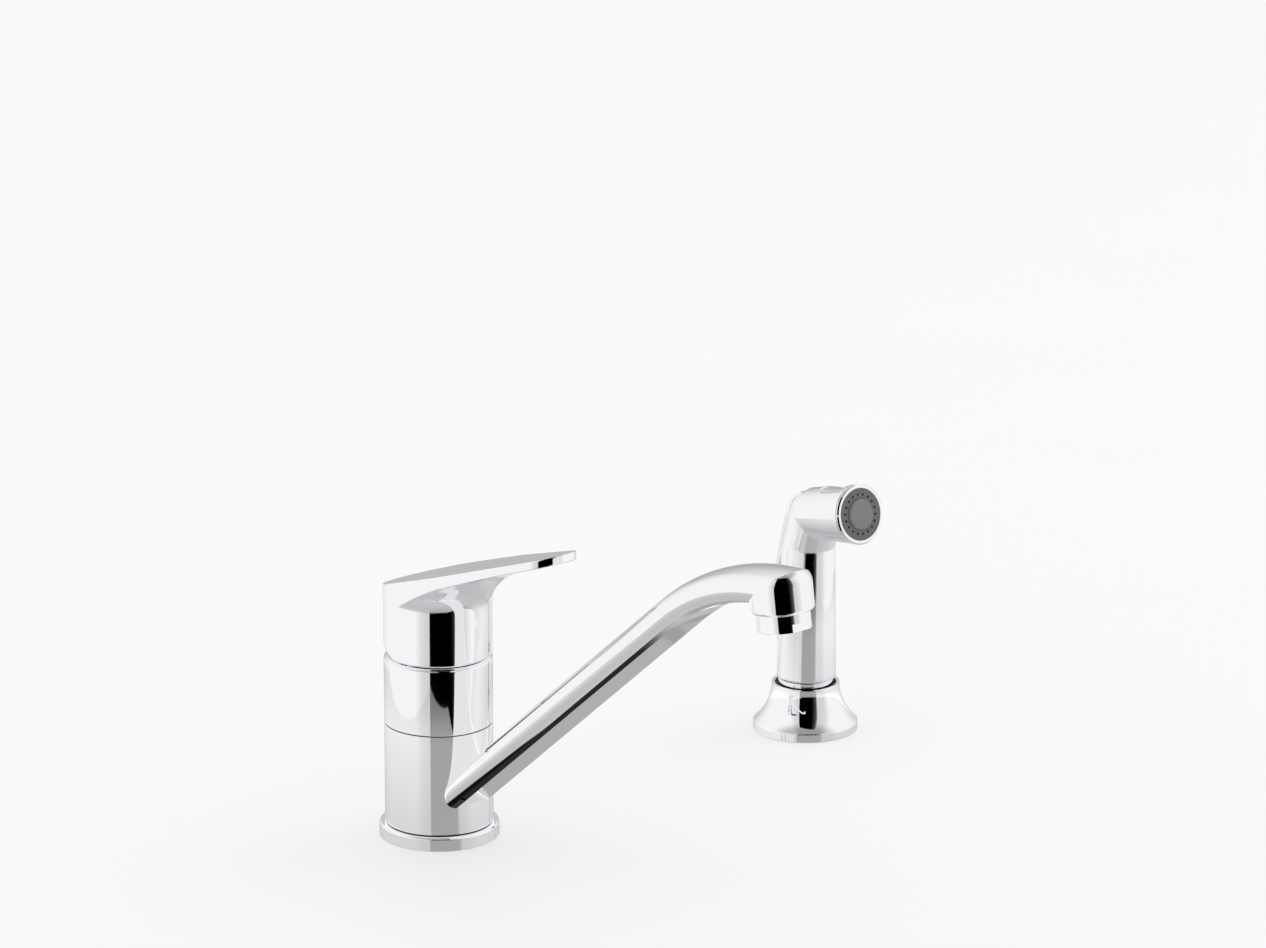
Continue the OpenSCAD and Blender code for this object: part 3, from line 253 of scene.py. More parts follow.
class FaucetStudio(bpy.types.PropertyGroup):
    """Camera, lights and table of the studio."""

    view_turn: FloatProperty(
        name="View turn", description="Turn of the view from the faucet's front",
        default=math.radians(41.2), unit="ROTATION")
    view_drop: FloatProperty(
        name="View drop", description="Angle at which the camera looks down",
        default=math.radians(17.038), unit="ROTATION")
    camera_place: FloatVectorProperty(
        name="Camera place", description="Where the camera stands", subtype="TRANSLATION",
        size=3, default=(-2.22192, -2.67336, 1.23724))
    lens: FloatProperty(
        name="Lens", description="Focal length of the camera, in millimetres",
        default=227.49, min=10)
    flag_turn: FloatProperty(
        name="Flag turn", description="Turn of the black flag from the camera's direction",
        default=math.radians(14), unit="ROTATION")
    flag_place: FloatProperty(
        name="Flag place", description="Distance of the flag from the faucet",
        default=1.3, min=0.1, unit="LENGTH")
    flag_width: FloatProperty(
        name="Flag width", description="Half width of the flag at a distance of one",
        default=0.577, min=0)
    flag_height: FloatProperty(
        name="Flag height", description="Height of the flag at a distance of one",
        default=2.14, min=0)
    flag_glow: FloatProperty(
        name="Flag glow", description="Faint light at the right side of the flag",
        default=0.08, min=0)
    wall_light: FloatProperty(
        name="Wall light", description="Brightness of the white walls seen in the chrome",
        default=0.96, min=0)
    beside_light: FloatProperty(
        name="Beside light", description="Brightness beside the flag, compared with the walls",
        default=0.7, min=0)
    back_loss: FloatProperty(
        name="Back loss", description="Share of its light that the wall behind lacks",
        default=0.55, min=0, max=1, subtype="FACTOR")
    back_loss_low: FloatProperty(
        name="Low back loss", description="Share of its light that the wall behind lacks low down",
        default=0.27, min=0, max=1, subtype="FACTOR")
    roof_light: FloatProperty(
        name="Roof light", description="Brightness overhead, compared with the walls",
        default=0.5, min=0)
    room_light: FloatProperty(
        name="Room light", description="Brightness of the even light on the table",
        default=0.975, min=0)
    lamp_power: FloatProperty(
        name="Lamp power", description="Power of the soft lamp behind the faucet",
        default=7, min=0, subtype="POWER", unit="POWER")
    lamp_size: FloatProperty(
        name="Lamp size", description="Diameter of the soft lamp", default=1.6, min=0,
        unit="LENGTH")
    lamp_turn: FloatProperty(
        name="Lamp turn", description="Turn of the lamp from the camera's direction",
        default=math.radians(115), unit="ROTATION")
    lamp_reach: FloatProperty(
        name="Lamp reach", description="Level distance of the lamp from the faucet",
        default=1.7, unit="LENGTH")
    lamp_height: FloatProperty(
        name="Lamp height", description="Height of the lamp above the table", default=2.2,
        unit="LENGTH")
    table: FloatVectorProperty(
        name="Table", description="Colour of the table", subtype="COLOR",
        size=3, min=0, max=1, default=(0.38, 0.38, 0.38))
    table_glow: FloatProperty(
        name="Table glow", description="Light that the table gives off, which softens shadows",
        default=0.555, min=0)
    table_near: FloatProperty(
        name="Table near", description="Brightness of the table's reflection at a body",
        default=0.36, min=0)
    table_steep: FloatProperty(
        name="Table steep", description="Added brightness of the table's reflection from above",
        default=0.24, min=0)
    table_far: FloatProperty(
        name="Table far", description="Brightness of the table's reflection at its rim",
        default=0.16, min=0)
    near_reach: FloatProperty(
        name="Near reach", description="Where the table's reflection starts to darken",
        default=165 * MM, unit="LENGTH")
    far_reach: FloatProperty(
        name="Far reach", description="Where the table's reflection stops darkening",
        default=250 * MM, unit="LENGTH")
    sheen: FloatProperty(
        name="Sheen", description="Share of the room that the table mirrors at a low angle",
        default=0.62, min=0)
    sheen_growth: FloatProperty(
        name="Sheen growth", description="Growth of that share with each metre from a body",
        default=3.1, min=0)
    front_rim: FloatProperty(
        name="Front rim", description="Distance to the straight rim in front of the flag",
        default=228 * MM, unit="LENGTH")
    left_rim: FloatProperty(
        name="Left rim", description="Least distance to the rim at the left",
        default=204 * MM, unit="LENGTH")
    right_rim: FloatProperty(
        name="Right rim", description="Least distance to the rim at the right",
        default=211 * MM, unit="LENGTH")
    back_rim: FloatProperty(
        name="Back rim", description="Distance to the rim elsewhere", default=260 * MM,
        unit="LENGTH")
    patch_split: FloatProperty(
        name="Patch split", description="Distance from the faucet's axis to the line between "
        "the two patches of the table's reflection", default=130 * MM, unit="LENGTH")


def finishes():
    """Settings of the materials."""
    return bpy.context.scene.faucet_finishes


def lever_sizes():
    """Sizes of the lever handle."""
    return bpy.context.scene.faucet_lever


def threads():
    """Sizes of the threads."""
    return bpy.context.scene.faucet_threads


def studio():
    """Settings of the studio."""
    return bpy.context.scene.faucet_studio


# Node trees


def put(tree, target, value):
    """Links a socket to the target socket, or sets its number or colour."""
    if isinstance(value, bpy.types.NodeSocket):
        tree.links.new(value, target)
    else:
        target.default_value = value


def maths(tree, operation, *values):
    """The number that a Math node makes of the values."""
    node = tree.nodes.new("ShaderNodeMath")
    node.operation = operation
    for target, value in zip(node.inputs, values):
        put(tree, target, value)
    return node.outputs[0]


def vector_maths(tree, operation, *values):
    """The vector result, or the number for an operation that gives one."""
    node = tree.nodes.new("ShaderNodeVectorMath")
    node.operation = operation
    for target, value in zip(node.inputs, values):
        put(tree, target, value)
    return node.outputs["Value" if operation in ("DOT_PRODUCT", "LENGTH") else "Vector"]


def smooth(tree, value, low, high, start=0.0, end=1.0):
    """Goes smoothly from start to end while the value goes from low to high."""
    node = tree.nodes.new("ShaderNodeMapRange")
    node.interpolation_type = "SMOOTHSTEP"
    for target, given in zip(node.inputs, (value, low, high, start, end)):
        put(tree, target, given)
    return node.outputs[0]


def noise(tree, place, scale, detail=3.0, roughness=0.55):
    """Noise from 0 to 1 with this many features a metre."""
    node = tree.nodes.new("ShaderNodeTexNoise")
    put(tree, node.inputs["Vector"], place)
    put(tree, node.inputs["Scale"], scale)
    node.inputs["Detail"].default_value = detail
    node.inputs["Roughness"].default_value = roughness
    return node.outputs["Fac"]


def object_place(tree):
    """Position in the row frame, in metres."""
    return tree.nodes.new("ShaderNodeTexCoord").outputs["Object"]


def new_group(name, sizes, outputs):
    """A shader node group with these number inputs and outputs, and its end nodes."""
    tree = bpy.data.node_groups.new(name, "ShaderNodeTree")
    for label, value in sizes.items():
        entry = tree.interface.new_socket(label, in_out="INPUT", socket_type="NodeSocketFloat")
        entry.default_value = value
    for label in outputs:
        tree.interface.new_socket(label, in_out="OUTPUT", socket_type="NodeSocketFloat")
    return tree, tree.nodes.new("NodeGroupInput"), tree.nodes.new("NodeGroupOutput")


def polish_group():
    """Wiping haze and fine polishing scratches of a plated surface."""
    tree, given, result = new_group(
        "Polish", {"Haze size": 22.0, "Scratch size": 900.0}, ("Haze", "Height"))
    place = object_place(tree)
    haze = noise(tree, place, given.outputs["Haze size"], 2.0)
    put(tree, result.inputs["Haze"], smooth(tree, haze, 0.35, 0.75))
    long = vector_maths(tree, "MULTIPLY", place, (1.0, 1.0, 0.12))
    put(tree, result.inputs["Height"], noise(tree, long, given.outputs["Scratch size"], 2.0))
    return tree


def turned_group():
    """Fine rings that a lathe leaves, about the vertical axis at a given place along X."""
    tree, given, result = new_group(
        "Turned", {"Axis X": 0.0, "Ring size": 0.0004, "Tone size": 1400.0},
        ("Tone", "Height"))
    split = tree.nodes.new("ShaderNodeSeparateXYZ")
    put(tree, split.inputs[0], object_place(tree))
    x = maths(tree, "SUBTRACT", split.outputs[0], given.outputs["Axis X"])
    across = maths(tree, "SQRT", maths(
        tree, "ADD", maths(tree, "POWER", x, 2.0),
        maths(tree, "POWER", split.outputs[1], 2.0)))
    path = maths(tree, "ADD", across, split.outputs[2])
    turn = maths(tree, "MULTIPLY", maths(tree, "DIVIDE", path, given.outputs["Ring size"]),
                 2 * math.pi)
    put(tree, result.inputs["Height"], maths(tree, "SINE", turn))
    row = tree.nodes.new("ShaderNodeCombineXYZ")
    put(tree, row.inputs[0], path)
    put(tree, result.inputs["Tone"], noise(
        tree, row.outputs[0], given.outputs["Tone size"], 2.0))
    return tree


def drawn_group():
    """Lengthwise lines and stains of drawn tube."""
    tree, given, result = new_group(
        "Drawn", {"Line size": 2600.0, "Stain size": 130.0}, ("Stain", "Height"))
    place = object_place(tree)
    long = vector_maths(tree, "MULTIPLY", place, (1.0, 1.0, 0.02))
    put(tree, result.inputs["Height"], noise(tree, long, given.outputs["Line size"], 2.0))
    stain = noise(tree, place, given.outputs["Stain size"], 4.0)
    put(tree, result.inputs["Stain"], smooth(tree, stain, 0.45, 0.7))
    return tree


def moulded_group():
    """Fine grain and slow tone changes of a moulded piece."""
    tree, given, result = new_group(
        "Moulded", {"Grain size": 3000.0, "Tone size": 70.0}, ("Tone", "Height"))
    place = object_place(tree)
    put(tree, result.inputs["Tone"], noise(tree, place, given.outputs["Tone size"], 3.0))
    put(tree, result.inputs["Height"], noise(tree, place, given.outputs["Grain size"], 2.0))
    return tree


def edge_group():
    """Mask of the outer edges, where a piece is handled and rubbed."""
    tree, given, result = new_group(
        "Edge wear", {"Width": 0.0004, "Sharpness": 6.0, "Patch size": 700.0}, ("Mask",))
    bevel = tree.nodes.new("ShaderNodeBevel")
    put(tree, bevel.inputs["Radius"], given.outputs["Width"])
    shape = tree.nodes.new("ShaderNodeNewGeometry")
    turned = vector_maths(tree, "DOT_PRODUCT", bevel.outputs[0], shape.outputs["Normal"])
    turn = maths(tree, "SUBTRACT", 1.0, turned)
    strong = maths(tree, "MULTIPLY", turn, given.outputs["Sharpness"])
    patches = noise(tree, object_place(tree), given.outputs["Patch size"], 3.0)
    worn = maths(tree, "MULTIPLY", strong, smooth(tree, patches, 0.3, 0.6))
    worn.node.use_clamp = True
    put(tree, result.inputs["Mask"], worn)
    return tree


def arm_painted_light_group():
    """Masks of the painted dark reflection along the lower sides of the arm, where the skin turns
    under it, and of the painted shade on its underside.

    The line's width is given by how far the skin there faces sideways, at its upper and lower
    border and at its thin far end, and its length by the distance ahead of the faucet's axis."""
    tree, given, result = new_group(
        "Arm painted reflection and shade", {"Turn start": 0.42, "Turn end": 0.9, "Taper": 0.48, "Softness": 0.02,
                     "Bend": 0.15, "End": 0.19}, ("Mask", "Painted under shade"))
    place = tree.nodes.new("ShaderNodeSeparateXYZ")
    put(tree, place.inputs[0], object_place(tree))
    ahead = maths(tree, "MULTIPLY", place.outputs[1], -1.0)
    facing = tree.nodes.new("ShaderNodeSeparateXYZ")
    put(tree, facing.inputs[0], tree.nodes.new("ShaderNodeTexCoord").outputs["Normal"])
    side = maths(tree, "ABSOLUTE", facing.outputs[0])
    under = smooth(tree, facing.outputs[2], -0.35, -0.2, 1.0, 0.0)
    start, soft = given.outputs["Turn start"], given.outputs["Softness"]
    end = smooth(tree, ahead, 0.0, given.outputs["End"], given.outputs["Turn end"],
                 given.outputs["Taper"])
    band = maths(tree, "MULTIPLY",
                 smooth(tree, side, maths(tree, "SUBTRACT", start, soft),
                        maths(tree, "ADD", start, soft)),
                 smooth(tree, side, maths(tree, "SUBTRACT", end, soft),
                        maths(tree, "ADD", end, soft), 1.0, 0.0))
    along = smooth(tree, ahead, given.outputs["Bend"], given.outputs["End"], 1.0, 0.0)
    # Painted reflection: mask of the dark line along the arm's lower sides
    mask = maths(tree, "MULTIPLY", maths(tree, "MULTIPLY", band, under), along)
    put(tree, result.inputs["Mask"], mask)
    # Painted shade: mask of the arm's underside, whose base colour is darkened
    put(tree, result.inputs["Painted under shade"], smooth(tree, facing.outputs[2], -0.76, -0.7, 1.0, 0.0))
    return tree


EFFECTS = {
    "Arm painted reflection and shade": arm_painted_light_group, "Polish": polish_group, "Turned": turned_group,
    "Drawn": drawn_group, "Moulded": moulded_group, "Edge wear": edge_group,
}


def effect(tree, name, **sizes):
    """Puts the shared effect of this name into a material."""
    group = bpy.data.node_groups.get(name) or EFFECTS[name]()
    node = tree.nodes.new("ShaderNodeGroup")
    node.node_tree = group
    for label, value in sizes.items():
        node.inputs[label.replace("_", " ")].default_value = value
    return node


def new_material(name, base, metallic=0.0, roughness=0.4):
    """A material with its node tree and its Principled shader."""
    mat = bpy.data.materials.new(name)
    mat.use_nodes = True
    tree = mat.node_tree
    shader = tree.nodes["Principled BSDF"]
    shader.inputs["Base Color"].default_value = (*base, 1)
    shader.inputs["Metallic"].default_value = metallic
    shader.inputs["Roughness"].default_value = roughness
    return mat, tree, shader


def tint(tree, shader, mask, first, second):
    """Base colour that goes from the first colour to the second as the mask rises."""
    mix = tree.nodes.new("ShaderNodeMix")
    mix.data_type = "RGBA"
    put(tree, mix.inputs["Factor"], mask)
    for target, colour in ((mix.inputs[6], first), (mix.inputs[7], second)):
        put(tree, target, (*colour, 1) if isinstance(colour, tuple) else colour)
    put(tree, shader.inputs["Base Color"], mix.outputs[2])
    return mix.outputs[2]


def bump(tree, shader, height, depth, rounding=None):
    """Surface relief of this depth in metres, on edges rounded by the given radius."""
    node = tree.nodes.new("ShaderNodeBump")
    node.inputs["Strength"].default_value = 1.0
    node.inputs["Distance"].default_value = depth
    put(tree, node.inputs["Height"], height)
    if rounding:
        bevel = tree.nodes.new("ShaderNodeBevel")
        bevel.samples = 8
        bevel.inputs["Radius"].default_value = rounding
        put(tree, node.inputs["Normal"], bevel.outputs[0])
    put(tree, shader.inputs["Normal"], node.outputs[0])


def shade(colour, factor):
    """The colour with its brightness multiplied."""
    return tuple(min(1, part * factor) for part in colour)


def dress(mat, *names):
    """Gives the material to these CAD nodes."""
    for name in names:
        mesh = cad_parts[name].data
        mesh.materials.clear()
        mesh.materials.append(mat)


def chrome_material(name, rounding):
    """Polished plating on edges of this radius, and its node tree and shader."""
    look = finishes()
    mat, tree, shader = new_material(name, look.chrome, 1.0, look.chrome_roughness)
    polish = effect(tree, "Polish")
    put(tree, shader.inputs["Roughness"], smooth(
        tree, polish.outputs["Haze"], 0.0, 1.0,
        look.chrome_roughness, 1.6 * look.chrome_roughness))
    bump(tree, shader, polish.outputs["Height"], 0.0000002, rounding)
    return mat, tree, shader


def arm_chrome_painted():
    """Chrome of the spout, with a painted dark reflection along the lower sides of its arm, painted
    shade on its underside and a painted flat glow where other chrome mirrors it.
    """
    look = finishes()
    mat, tree, shader = chrome_material("chrome_arm_painted_light", look.arm_edge)
    line = effect(tree, "Arm painted reflection and shade")
    # Painted shade: the underside's base colour is darkened by the arm shade factor
    painted_under_shade = tint(tree, shader, line.outputs["Painted under shade"], tuple(look.chrome),
               shade(look.chrome, look.arm_painted_shade))
    # Painted reflection: the dark line along the lower sides goes into the base colour
    painted_reflection_line = tint(tree, shader, line.outputs["Mask"], painted_under_shade, tuple(look.arm_painted_reflection_line))
    # Painted glow: in mirror rays the spout's base colour turns black and it gives off a flat
    # emission instead
    mirrored = tree.nodes.new("ShaderNodeLightPath").outputs["Is Glossy Ray"]
    tint(tree, shader, mirrored, painted_reflection_line, (0.0, 0.0, 0.0))
    tone = maths(tree, "MULTIPLY", mirrored, look.arm_painted_reflection_glow)
    painted_reflection_glow = tree.nodes.new("ShaderNodeCombineColor")
    for target in painted_reflection_glow.inputs:
        put(tree, target, tone)
    put(tree, shader.inputs["Emission Color"], painted_reflection_glow.outputs[0])
    shader.inputs["Emission Strength"].default_value = 1
    return mat


def turned_material(name, colour, roughness, axis=0.0):
    """Metal from the lathe, darker in stains and bright on rubbed edges."""
    mat, tree, shader = new_material(name, colour, 1.0, roughness)
    turned = effect(tree, "Turned", Axis_X=axis)
    wear = effect(tree, "Edge wear")
    tone = maths(tree, "SUBTRACT", turned.outputs["Tone"], wear.outputs["Mask"])
    tint(tree, shader, smooth(tree, tone, 0.2, 0.8), shade(colour, 1.12), shade(colour, 0.8))
    put(tree, shader.inputs["Roughness"], smooth(
        tree, turned.outputs["Tone"], 0.3, 0.7, 0.7 * roughness, 1.3 * roughness))
    bump(tree, shader, turned.outputs["Height"], 0.000004, 0.2 * MM)
    return mat


def copper_material():
    """Drawn copper tube with stains."""
    look = finishes()
    mat, tree, shader = new_material("copper", look.copper, 1.0, 0.28)
    drawn = effect(tree, "Drawn")
    tint(tree, shader, drawn.outputs["Stain"], shade(look.copper, 1), shade(look.copper, 0.6))
    put(tree, shader.inputs["Roughness"], smooth(
        tree, drawn.outputs["Stain"], 0.0, 1.0, 0.22, 0.42))
    bump(tree, shader, drawn.outputs["Height"], 0.00002, 0.2 * MM)
    return mat


def moulded_material(name, colour, roughness, depth=0.00003, grain=3000.0, coat=0.0):
    """Plastic, rubber or ceramic with a fine skin, paler where its edges are rubbed."""
    mat, tree, shader = new_material(name, colour, 0.0, roughness)
    skin = effect(tree, "Moulded", Grain_size=grain)
    wear = effect(tree, "Edge wear")
    tone = maths(tree, "ADD", maths(tree, "MULTIPLY", skin.outputs["Tone"], 0.6),
                 maths(tree, "MULTIPLY", wear.outputs["Mask"], 0.5))
    tint(tree, shader, tone, shade(colour, 0.85), shade(colour, 1.25))
    put(tree, shader.inputs["Roughness"], smooth(
        tree, skin.outputs["Tone"], 0.3, 0.7, 0.9 * roughness, min(1.0, 1.12 * roughness)))
    shader.inputs["Coat Weight"].default_value = coat
    bump(tree, shader, skin.outputs["Height"], depth, 0.2 * MM)
    return mat


# Meshes


def new_mesh(name, points, faces, mat, body, sharp=35):
    """A piece of the faucet, in metres in the row frame, that rides on a body. Edges that turn
    by more than the sharp angle, in degrees, stay sharp."""
    mesh = bpy.data.meshes.new(name)
    mesh.from_pydata(points, [], faces)
    mesh.validate()
    mesh.update()
    mesh.shade_smooth()
    mesh.set_sharp_from_angle(angle=math.radians(sharp))
    mesh.materials.append(mat)
    piece = bpy.data.objects.new(name, mesh)
    bpy.context.scene.collection.objects.link(piece)
    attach(piece, body)
    return piece


def thread_depth(height, turn, low, high, pitch, depth):
    """Depth of the thread's groove at this height and turn, running out at both ends."""
    if not low < height < high:
        return 0
    phase = (height / pitch - turn / (2 * math.pi)) % 1
    groove = min(1, max(0, 1.3 * abs(2 * phase - 1) - 0.15))
    return depth * groove * min(1, (height - low) / pitch, (high - height) / pitch)


def threaded_ring(name, outline, centre, low, high, pitch, depth, mat):
    """A closed outline of (radius, height), turned about a vertical axis, with a thread on the
    part of its outer wall between low and high."""
    steps = threads().segments
    walls = list(zip(outline, outline[1:] + outline[:1]))
    outer = max(r0 for (r0, z0), (r1, z1) in walls
                if r0 == r1 and min(z0, z1) < high and max(z0, z1) > low)
    path = []
    for (r0, z0), (r1, z1) in walls:
        path.append((r0, z0, False))
        if r0 == r1 == outer:
            start, end = sorted((z0, z1))
            cuts = []
            height = max(low, start)
            while height < min(high, end):
                cuts.append((r0, height, True))
                height += pitch / 6
            path += cuts if z0 < z1 else cuts[::-1]
    points = []
    for step in range(steps):
        turn = 2 * math.pi * step / steps
        for radius, height, cut in path:
            if cut:
                radius -= thread_depth(height, turn, low, high, pitch, depth)
            points.append((centre[0] + radius * math.cos(turn),
                           centre[1] + radius * math.sin(turn), height))
    count = len(path)
    faces = []
    for step in range(steps):
        after = (step + 1) % steps
        for i in range(count):
            j = (i + 1) % count
            faces.append((step * count + i, after * count + i,
                          after * count + j, step * count + j))
    return new_mesh(name, points, faces, mat, "base")


def arc(centre, radius, first, last, steps):
    """Points (across, front) of an arc about a centre on the lever's middle line."""
    turns = [first + (last - first) * i / steps for i in range(steps + 1)]
    return [(radius * math.sin(turn), centre + radius * math.cos(turn)) for turn in turns]


def straight(start, end, steps):
    """Points between the two ends, without the ends."""
    return [tuple(a + (b - a) * i / steps for a, b in zip(start, end))
            for i in range(1, steps)]


def leaf(nose, shoulder, nose_radius, shoulder_radius, skirt):
    """The lever's outline from above, from its nose round by its right side."""
    nose_turn = math.acos((shoulder_radius - nose_radius) / (nose - shoulder))
    waist_turn = math.acos((skirt - shoulder_radius) / shoulder)
    front = arc(nose, nose_radius, 0, nose_turn, 30)
    side = arc(shoulder, shoulder_radius, nose_turn, waist_turn, 8)
    rear = arc(0, skirt, waist_turn, math.pi, 44)
    half = (front + straight(front[-1], side[0], 24) + side
            + straight(side[-1], rear[0], 16) + rear)
    return half + [(-across, ahead) for across, ahead in half[-2:0:-1]]


def cove_height(ahead, out, stretch, floor, top):
    """Height of the underside: a quarter of an ellipse up to the plane below the blade."""
    plane = top(ahead) - lever_sizes().blade
    rise = plane - floor
    left = 1 - max(out, 0) / (rise * stretch)
    return plane if left <= 0 else floor + rise * math.sqrt(1 - left * left)


# Rows of the lever's mesh inside the skirt, and the block around the plug in rows and columns
INNER_ROWS = 7
PLUG_ROWS = 4
PLUG_COLUMNS = 6


def lever_rows(edge, rim, floor, top):
    """Rows of points, each once round the axis, from inside the socket to the flat top."""
    sizes = lever_sizes()
    skirt = sizes.skirt_radius
    inner = skirt - sizes.skirt_wall
    turns = [(across / math.hypot(across, ahead), ahead / math.hypot(across, ahead))
             for across, ahead in edge]

    def rim_height(back):
        return rim + max(0, back - sizes.relief_start) * math.tan(sizes.relief_slope)

    def ring(radius, height):
        return [(sine * radius, -cosine * radius, height) for sine, cosine in turns]

    def square(height):
        return [(sine * sizes.socket_half / max(abs(sine), abs(cosine)),
                 -cosine * sizes.socket_half / max(abs(sine), abs(cosine)), height)
                for sine, cosine in turns]

    def lowest(radius):
        return [(x, y, rim_height(y)) for x, y, _ in ring(radius, 0)]

    ceiling = floor - sizes.cove_roof
    boss = sizes.boss_radius
    boss_rim = rim + sizes.boss_rise
    rows = [square(ceiling - sizes.socket_roof), square(boss_rim), ring(boss, boss_rim),
            ring(boss, ceiling), ring(inner, ceiling), lowest(inner), lowest(skirt)]
    rows += [ring(skirt, rim + sizes.plug_rise + step * sizes.plug_step)
             for step in range(PLUG_ROWS + 1)]
    for step in range(sizes.cove_steps + 1):
        share = (step / sizes.cove_steps) ** 2
        row = []
        for (across, ahead), (sine, cosine) in zip(edge, turns):
            reach = math.hypot(across, ahead)
            radius = skirt + (reach - skirt) * share
            stretch = 1 + (sizes.cove_reach - 1) * max(0, cosine)
            height = cove_height(cosine * radius, radius - skirt, stretch, floor, top)
            row.append((sine * radius, -cosine * radius,
                        max(height, floor + step / sizes.cove_steps * MM)))
        rows.append(row)
    rows.append([(x, y, z + sizes.blade_round) for x, y, z in rows[-1]])
    rows.append([(across, -ahead, top(ahead)) for across, ahead in edge])
    return rows


def plug_recess(points, faces, count):
    """Swaps a block of the grid at the back for a round recess that holds the plug."""
    low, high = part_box("screw_plug")
    sizes = lever_sizes()
    radius = (high.x - low.x) / 2 + sizes.plug_gap
    middle = (low.z + high.z) / 2
    back = count // 2
    first, last = INNER_ROWS, INNER_ROWS + PLUG_ROWS
    columns = range(-PLUG_COLUMNS, PLUG_COLUMNS)
    block = {(row, back + column) for row in range(first, last) for column in columns}
    kept = [face for spot, face in faces if spot not in block]
    loop = [(first, back + column) for column in columns]
    loop += [(row, back + PLUG_COLUMNS) for row in range(first, last)]
    loop += [(last, back - column) for column in columns]
    loop += [(row, back - PLUG_COLUMNS) for row in range(last, first, -1)]
    outer = [row * count + column for row, column in loop]
    start = len(points)
    depth = sizes.skirt_radius - sizes.skirt_wall + sizes.plug_wall
    for index in outer:
        x, _, z = points[index]
        away = math.hypot(x, z - middle)
        side = x * radius / away
        points.append((side, math.sqrt(sizes.skirt_radius ** 2 - side ** 2),
                       middle + (z - middle) * radius / away))
    points += [(x, depth, z) for x, _, z in points[start:]]
    size = len(outer)
    for i in range(size):
        j = (i + 1) % size
        kept.append((outer[i], outer[j], start + j, start + i))
        kept.append((start + i, start + j, start + size + j, start + size + i))
    kept.append(tuple(start + size + i for i in range(size)))
    return kept


def lever_mesh(mat):
    """The lever handle, with a finer skin than its CAD node."""
    sizes = lever_sizes()
    low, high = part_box("handle")
    nose = -low.y - sizes.nose_radius
    slope = math.tan(sizes.top_slope)
    level = high.z + low.y * slope
    floor = low.z + sizes.cove_height
    edge = leaf(nose, sizes.shoulder_reach, sizes.nose_radius, high.x, sizes.skirt_radius)
    rows = lever_rows(edge, low.z, floor, lambda ahead: level + ahead * slope)
    points = [point for row in rows for point in row]
    count = len(edge)
    faces = []
    for row in range(len(rows) - 1):
        for i in range(count):
            j = (i + 1) % count
            faces.append(((row, i), (row * count + i, row * count + j,
                                     (row + 1) * count + j, (row + 1) * count + i)))
    faces = plug_recess(points, faces, count)
    faces.append(tuple(range(count - 1, -1, -1)))
    last = (len(rows) - 1) * count
    faces.append(tuple(last + i for i in range(count)))
    lever = new_mesh("lever", points, faces, mat, "handle", 62)
    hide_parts("handle")
    return lever


# Operators


class FAUCET_OT_chrome(bpy.types.Operator):
    """Plates the visible pieces with polished chrome."""

    bl_idname = "faucet.chrome"
    bl_label = "Chrome"

    def execute(self, context):
        look = finishes()
        dress(chrome_material("chrome", look.edge_radius)[0], "base_ring", "upper_shell",
              "trim_ring", "screw_plug", "aerator_collar", "spray_bell", "face_ring",
              "trigger", "hose_coupling")
        dress(arm_chrome_painted(), "spout")
        dress(chrome_material("chrome_lever", look.lever_edge)[0], "handle")
        dress(chrome_material("chrome_sprayer", look.sprayer_edge)[0], "sprayer_body")
        return {"FINISHED"}


class FAUCET_OT_lever(bpy.types.Operator):
    """Makes the lever handle with a fine, smooth skin."""

    bl_idname = "faucet.lever"
    bl_label = "Lever handle"

    def execute(self, context):
        lever_mesh(bpy.data.materials["chrome_lever"])
        return {"FINISHED"}


class FAUCET_OT_metals(bpy.types.Operator):
    """Finishes the brass, copper and steel pieces."""

    bl_idname = "faucet.metals"
    bl_label = "Brass, copper and steel"

    def execute(self, context):
        look = finishes()
        dress(turned_material("brass", look.brass, roughness=0.24), "valve_body", "mounting_nut",
              "retaining_nut", "lever_stem", "mounting_shank", "spray_outlet")
        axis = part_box("valve_seat")
        middle = (axis[0].x + axis[1].x) / 2
        dress(turned_material("brass_seat", look.brass, 0.2, middle), "valve_seat")
        dress(copper_material(), "hot_tube", "cold_tube")
        dress(turned_material("steel", look.steel, 0.26), "clamp_washer", "stem_pin",
              "set_screw")
        dress(turned_material("steel_sprayer", look.steel, 0.22, middle), "guide_washer",
              "trigger_pin", "valve_plunger", "valve_spring", "coupling_clip")
        return {"FINISHED"}


class FAUCET_OT_plastics(bpy.types.Operator):
    """Finishes the rubber, plastic and ceramic pieces."""

    bl_idname = "faucet.plastics"
    bl_label = "Rubber, plastic and ceramic"

    def execute(self, context):
        look = finishes()
        dress(moulded_material("rubber", look.rubber, 0.75), "deck_gasket", "clamp_gasket",
              "spout_seals", "diverter_seal", "port_seals", "aerator_washer", "bell_gasket",
              "coupling_washer", "valve_seal")
        dress(moulded_material("glide_plastic", look.glide, 0.4), "lower_glide_ring",
              "upper_glide_ring")
        dress(moulded_material("dark_plastic", look.dark, 0.5), "spray_guide", "guide_nut",
              "cartridge_base", "cartridge_housing", "turret")
        dress(moulded_material("white_plastic", look.white, 0.45, 0.00001),
              "diverter_sleeve", "diverter_piston", "flow_disc", "aerator_screen")
        dress(moulded_material("blue_plastic", look.blue, 0.4, 0.00001), "disc_carrier")
        dress(moulded_material("ceramic", look.ceramic, 0.16, 0.000001, 900.0, 0.6),
              "fixed_disc", "moving_disc")
        dress(moulded_material("face_plastic", look.face, 0.42, 0.00001), "spray_face")
        dress(moulded_material("button_plastic", look.button, 0.42, 0.00001), "face_button")
        return {"FINISHED"}


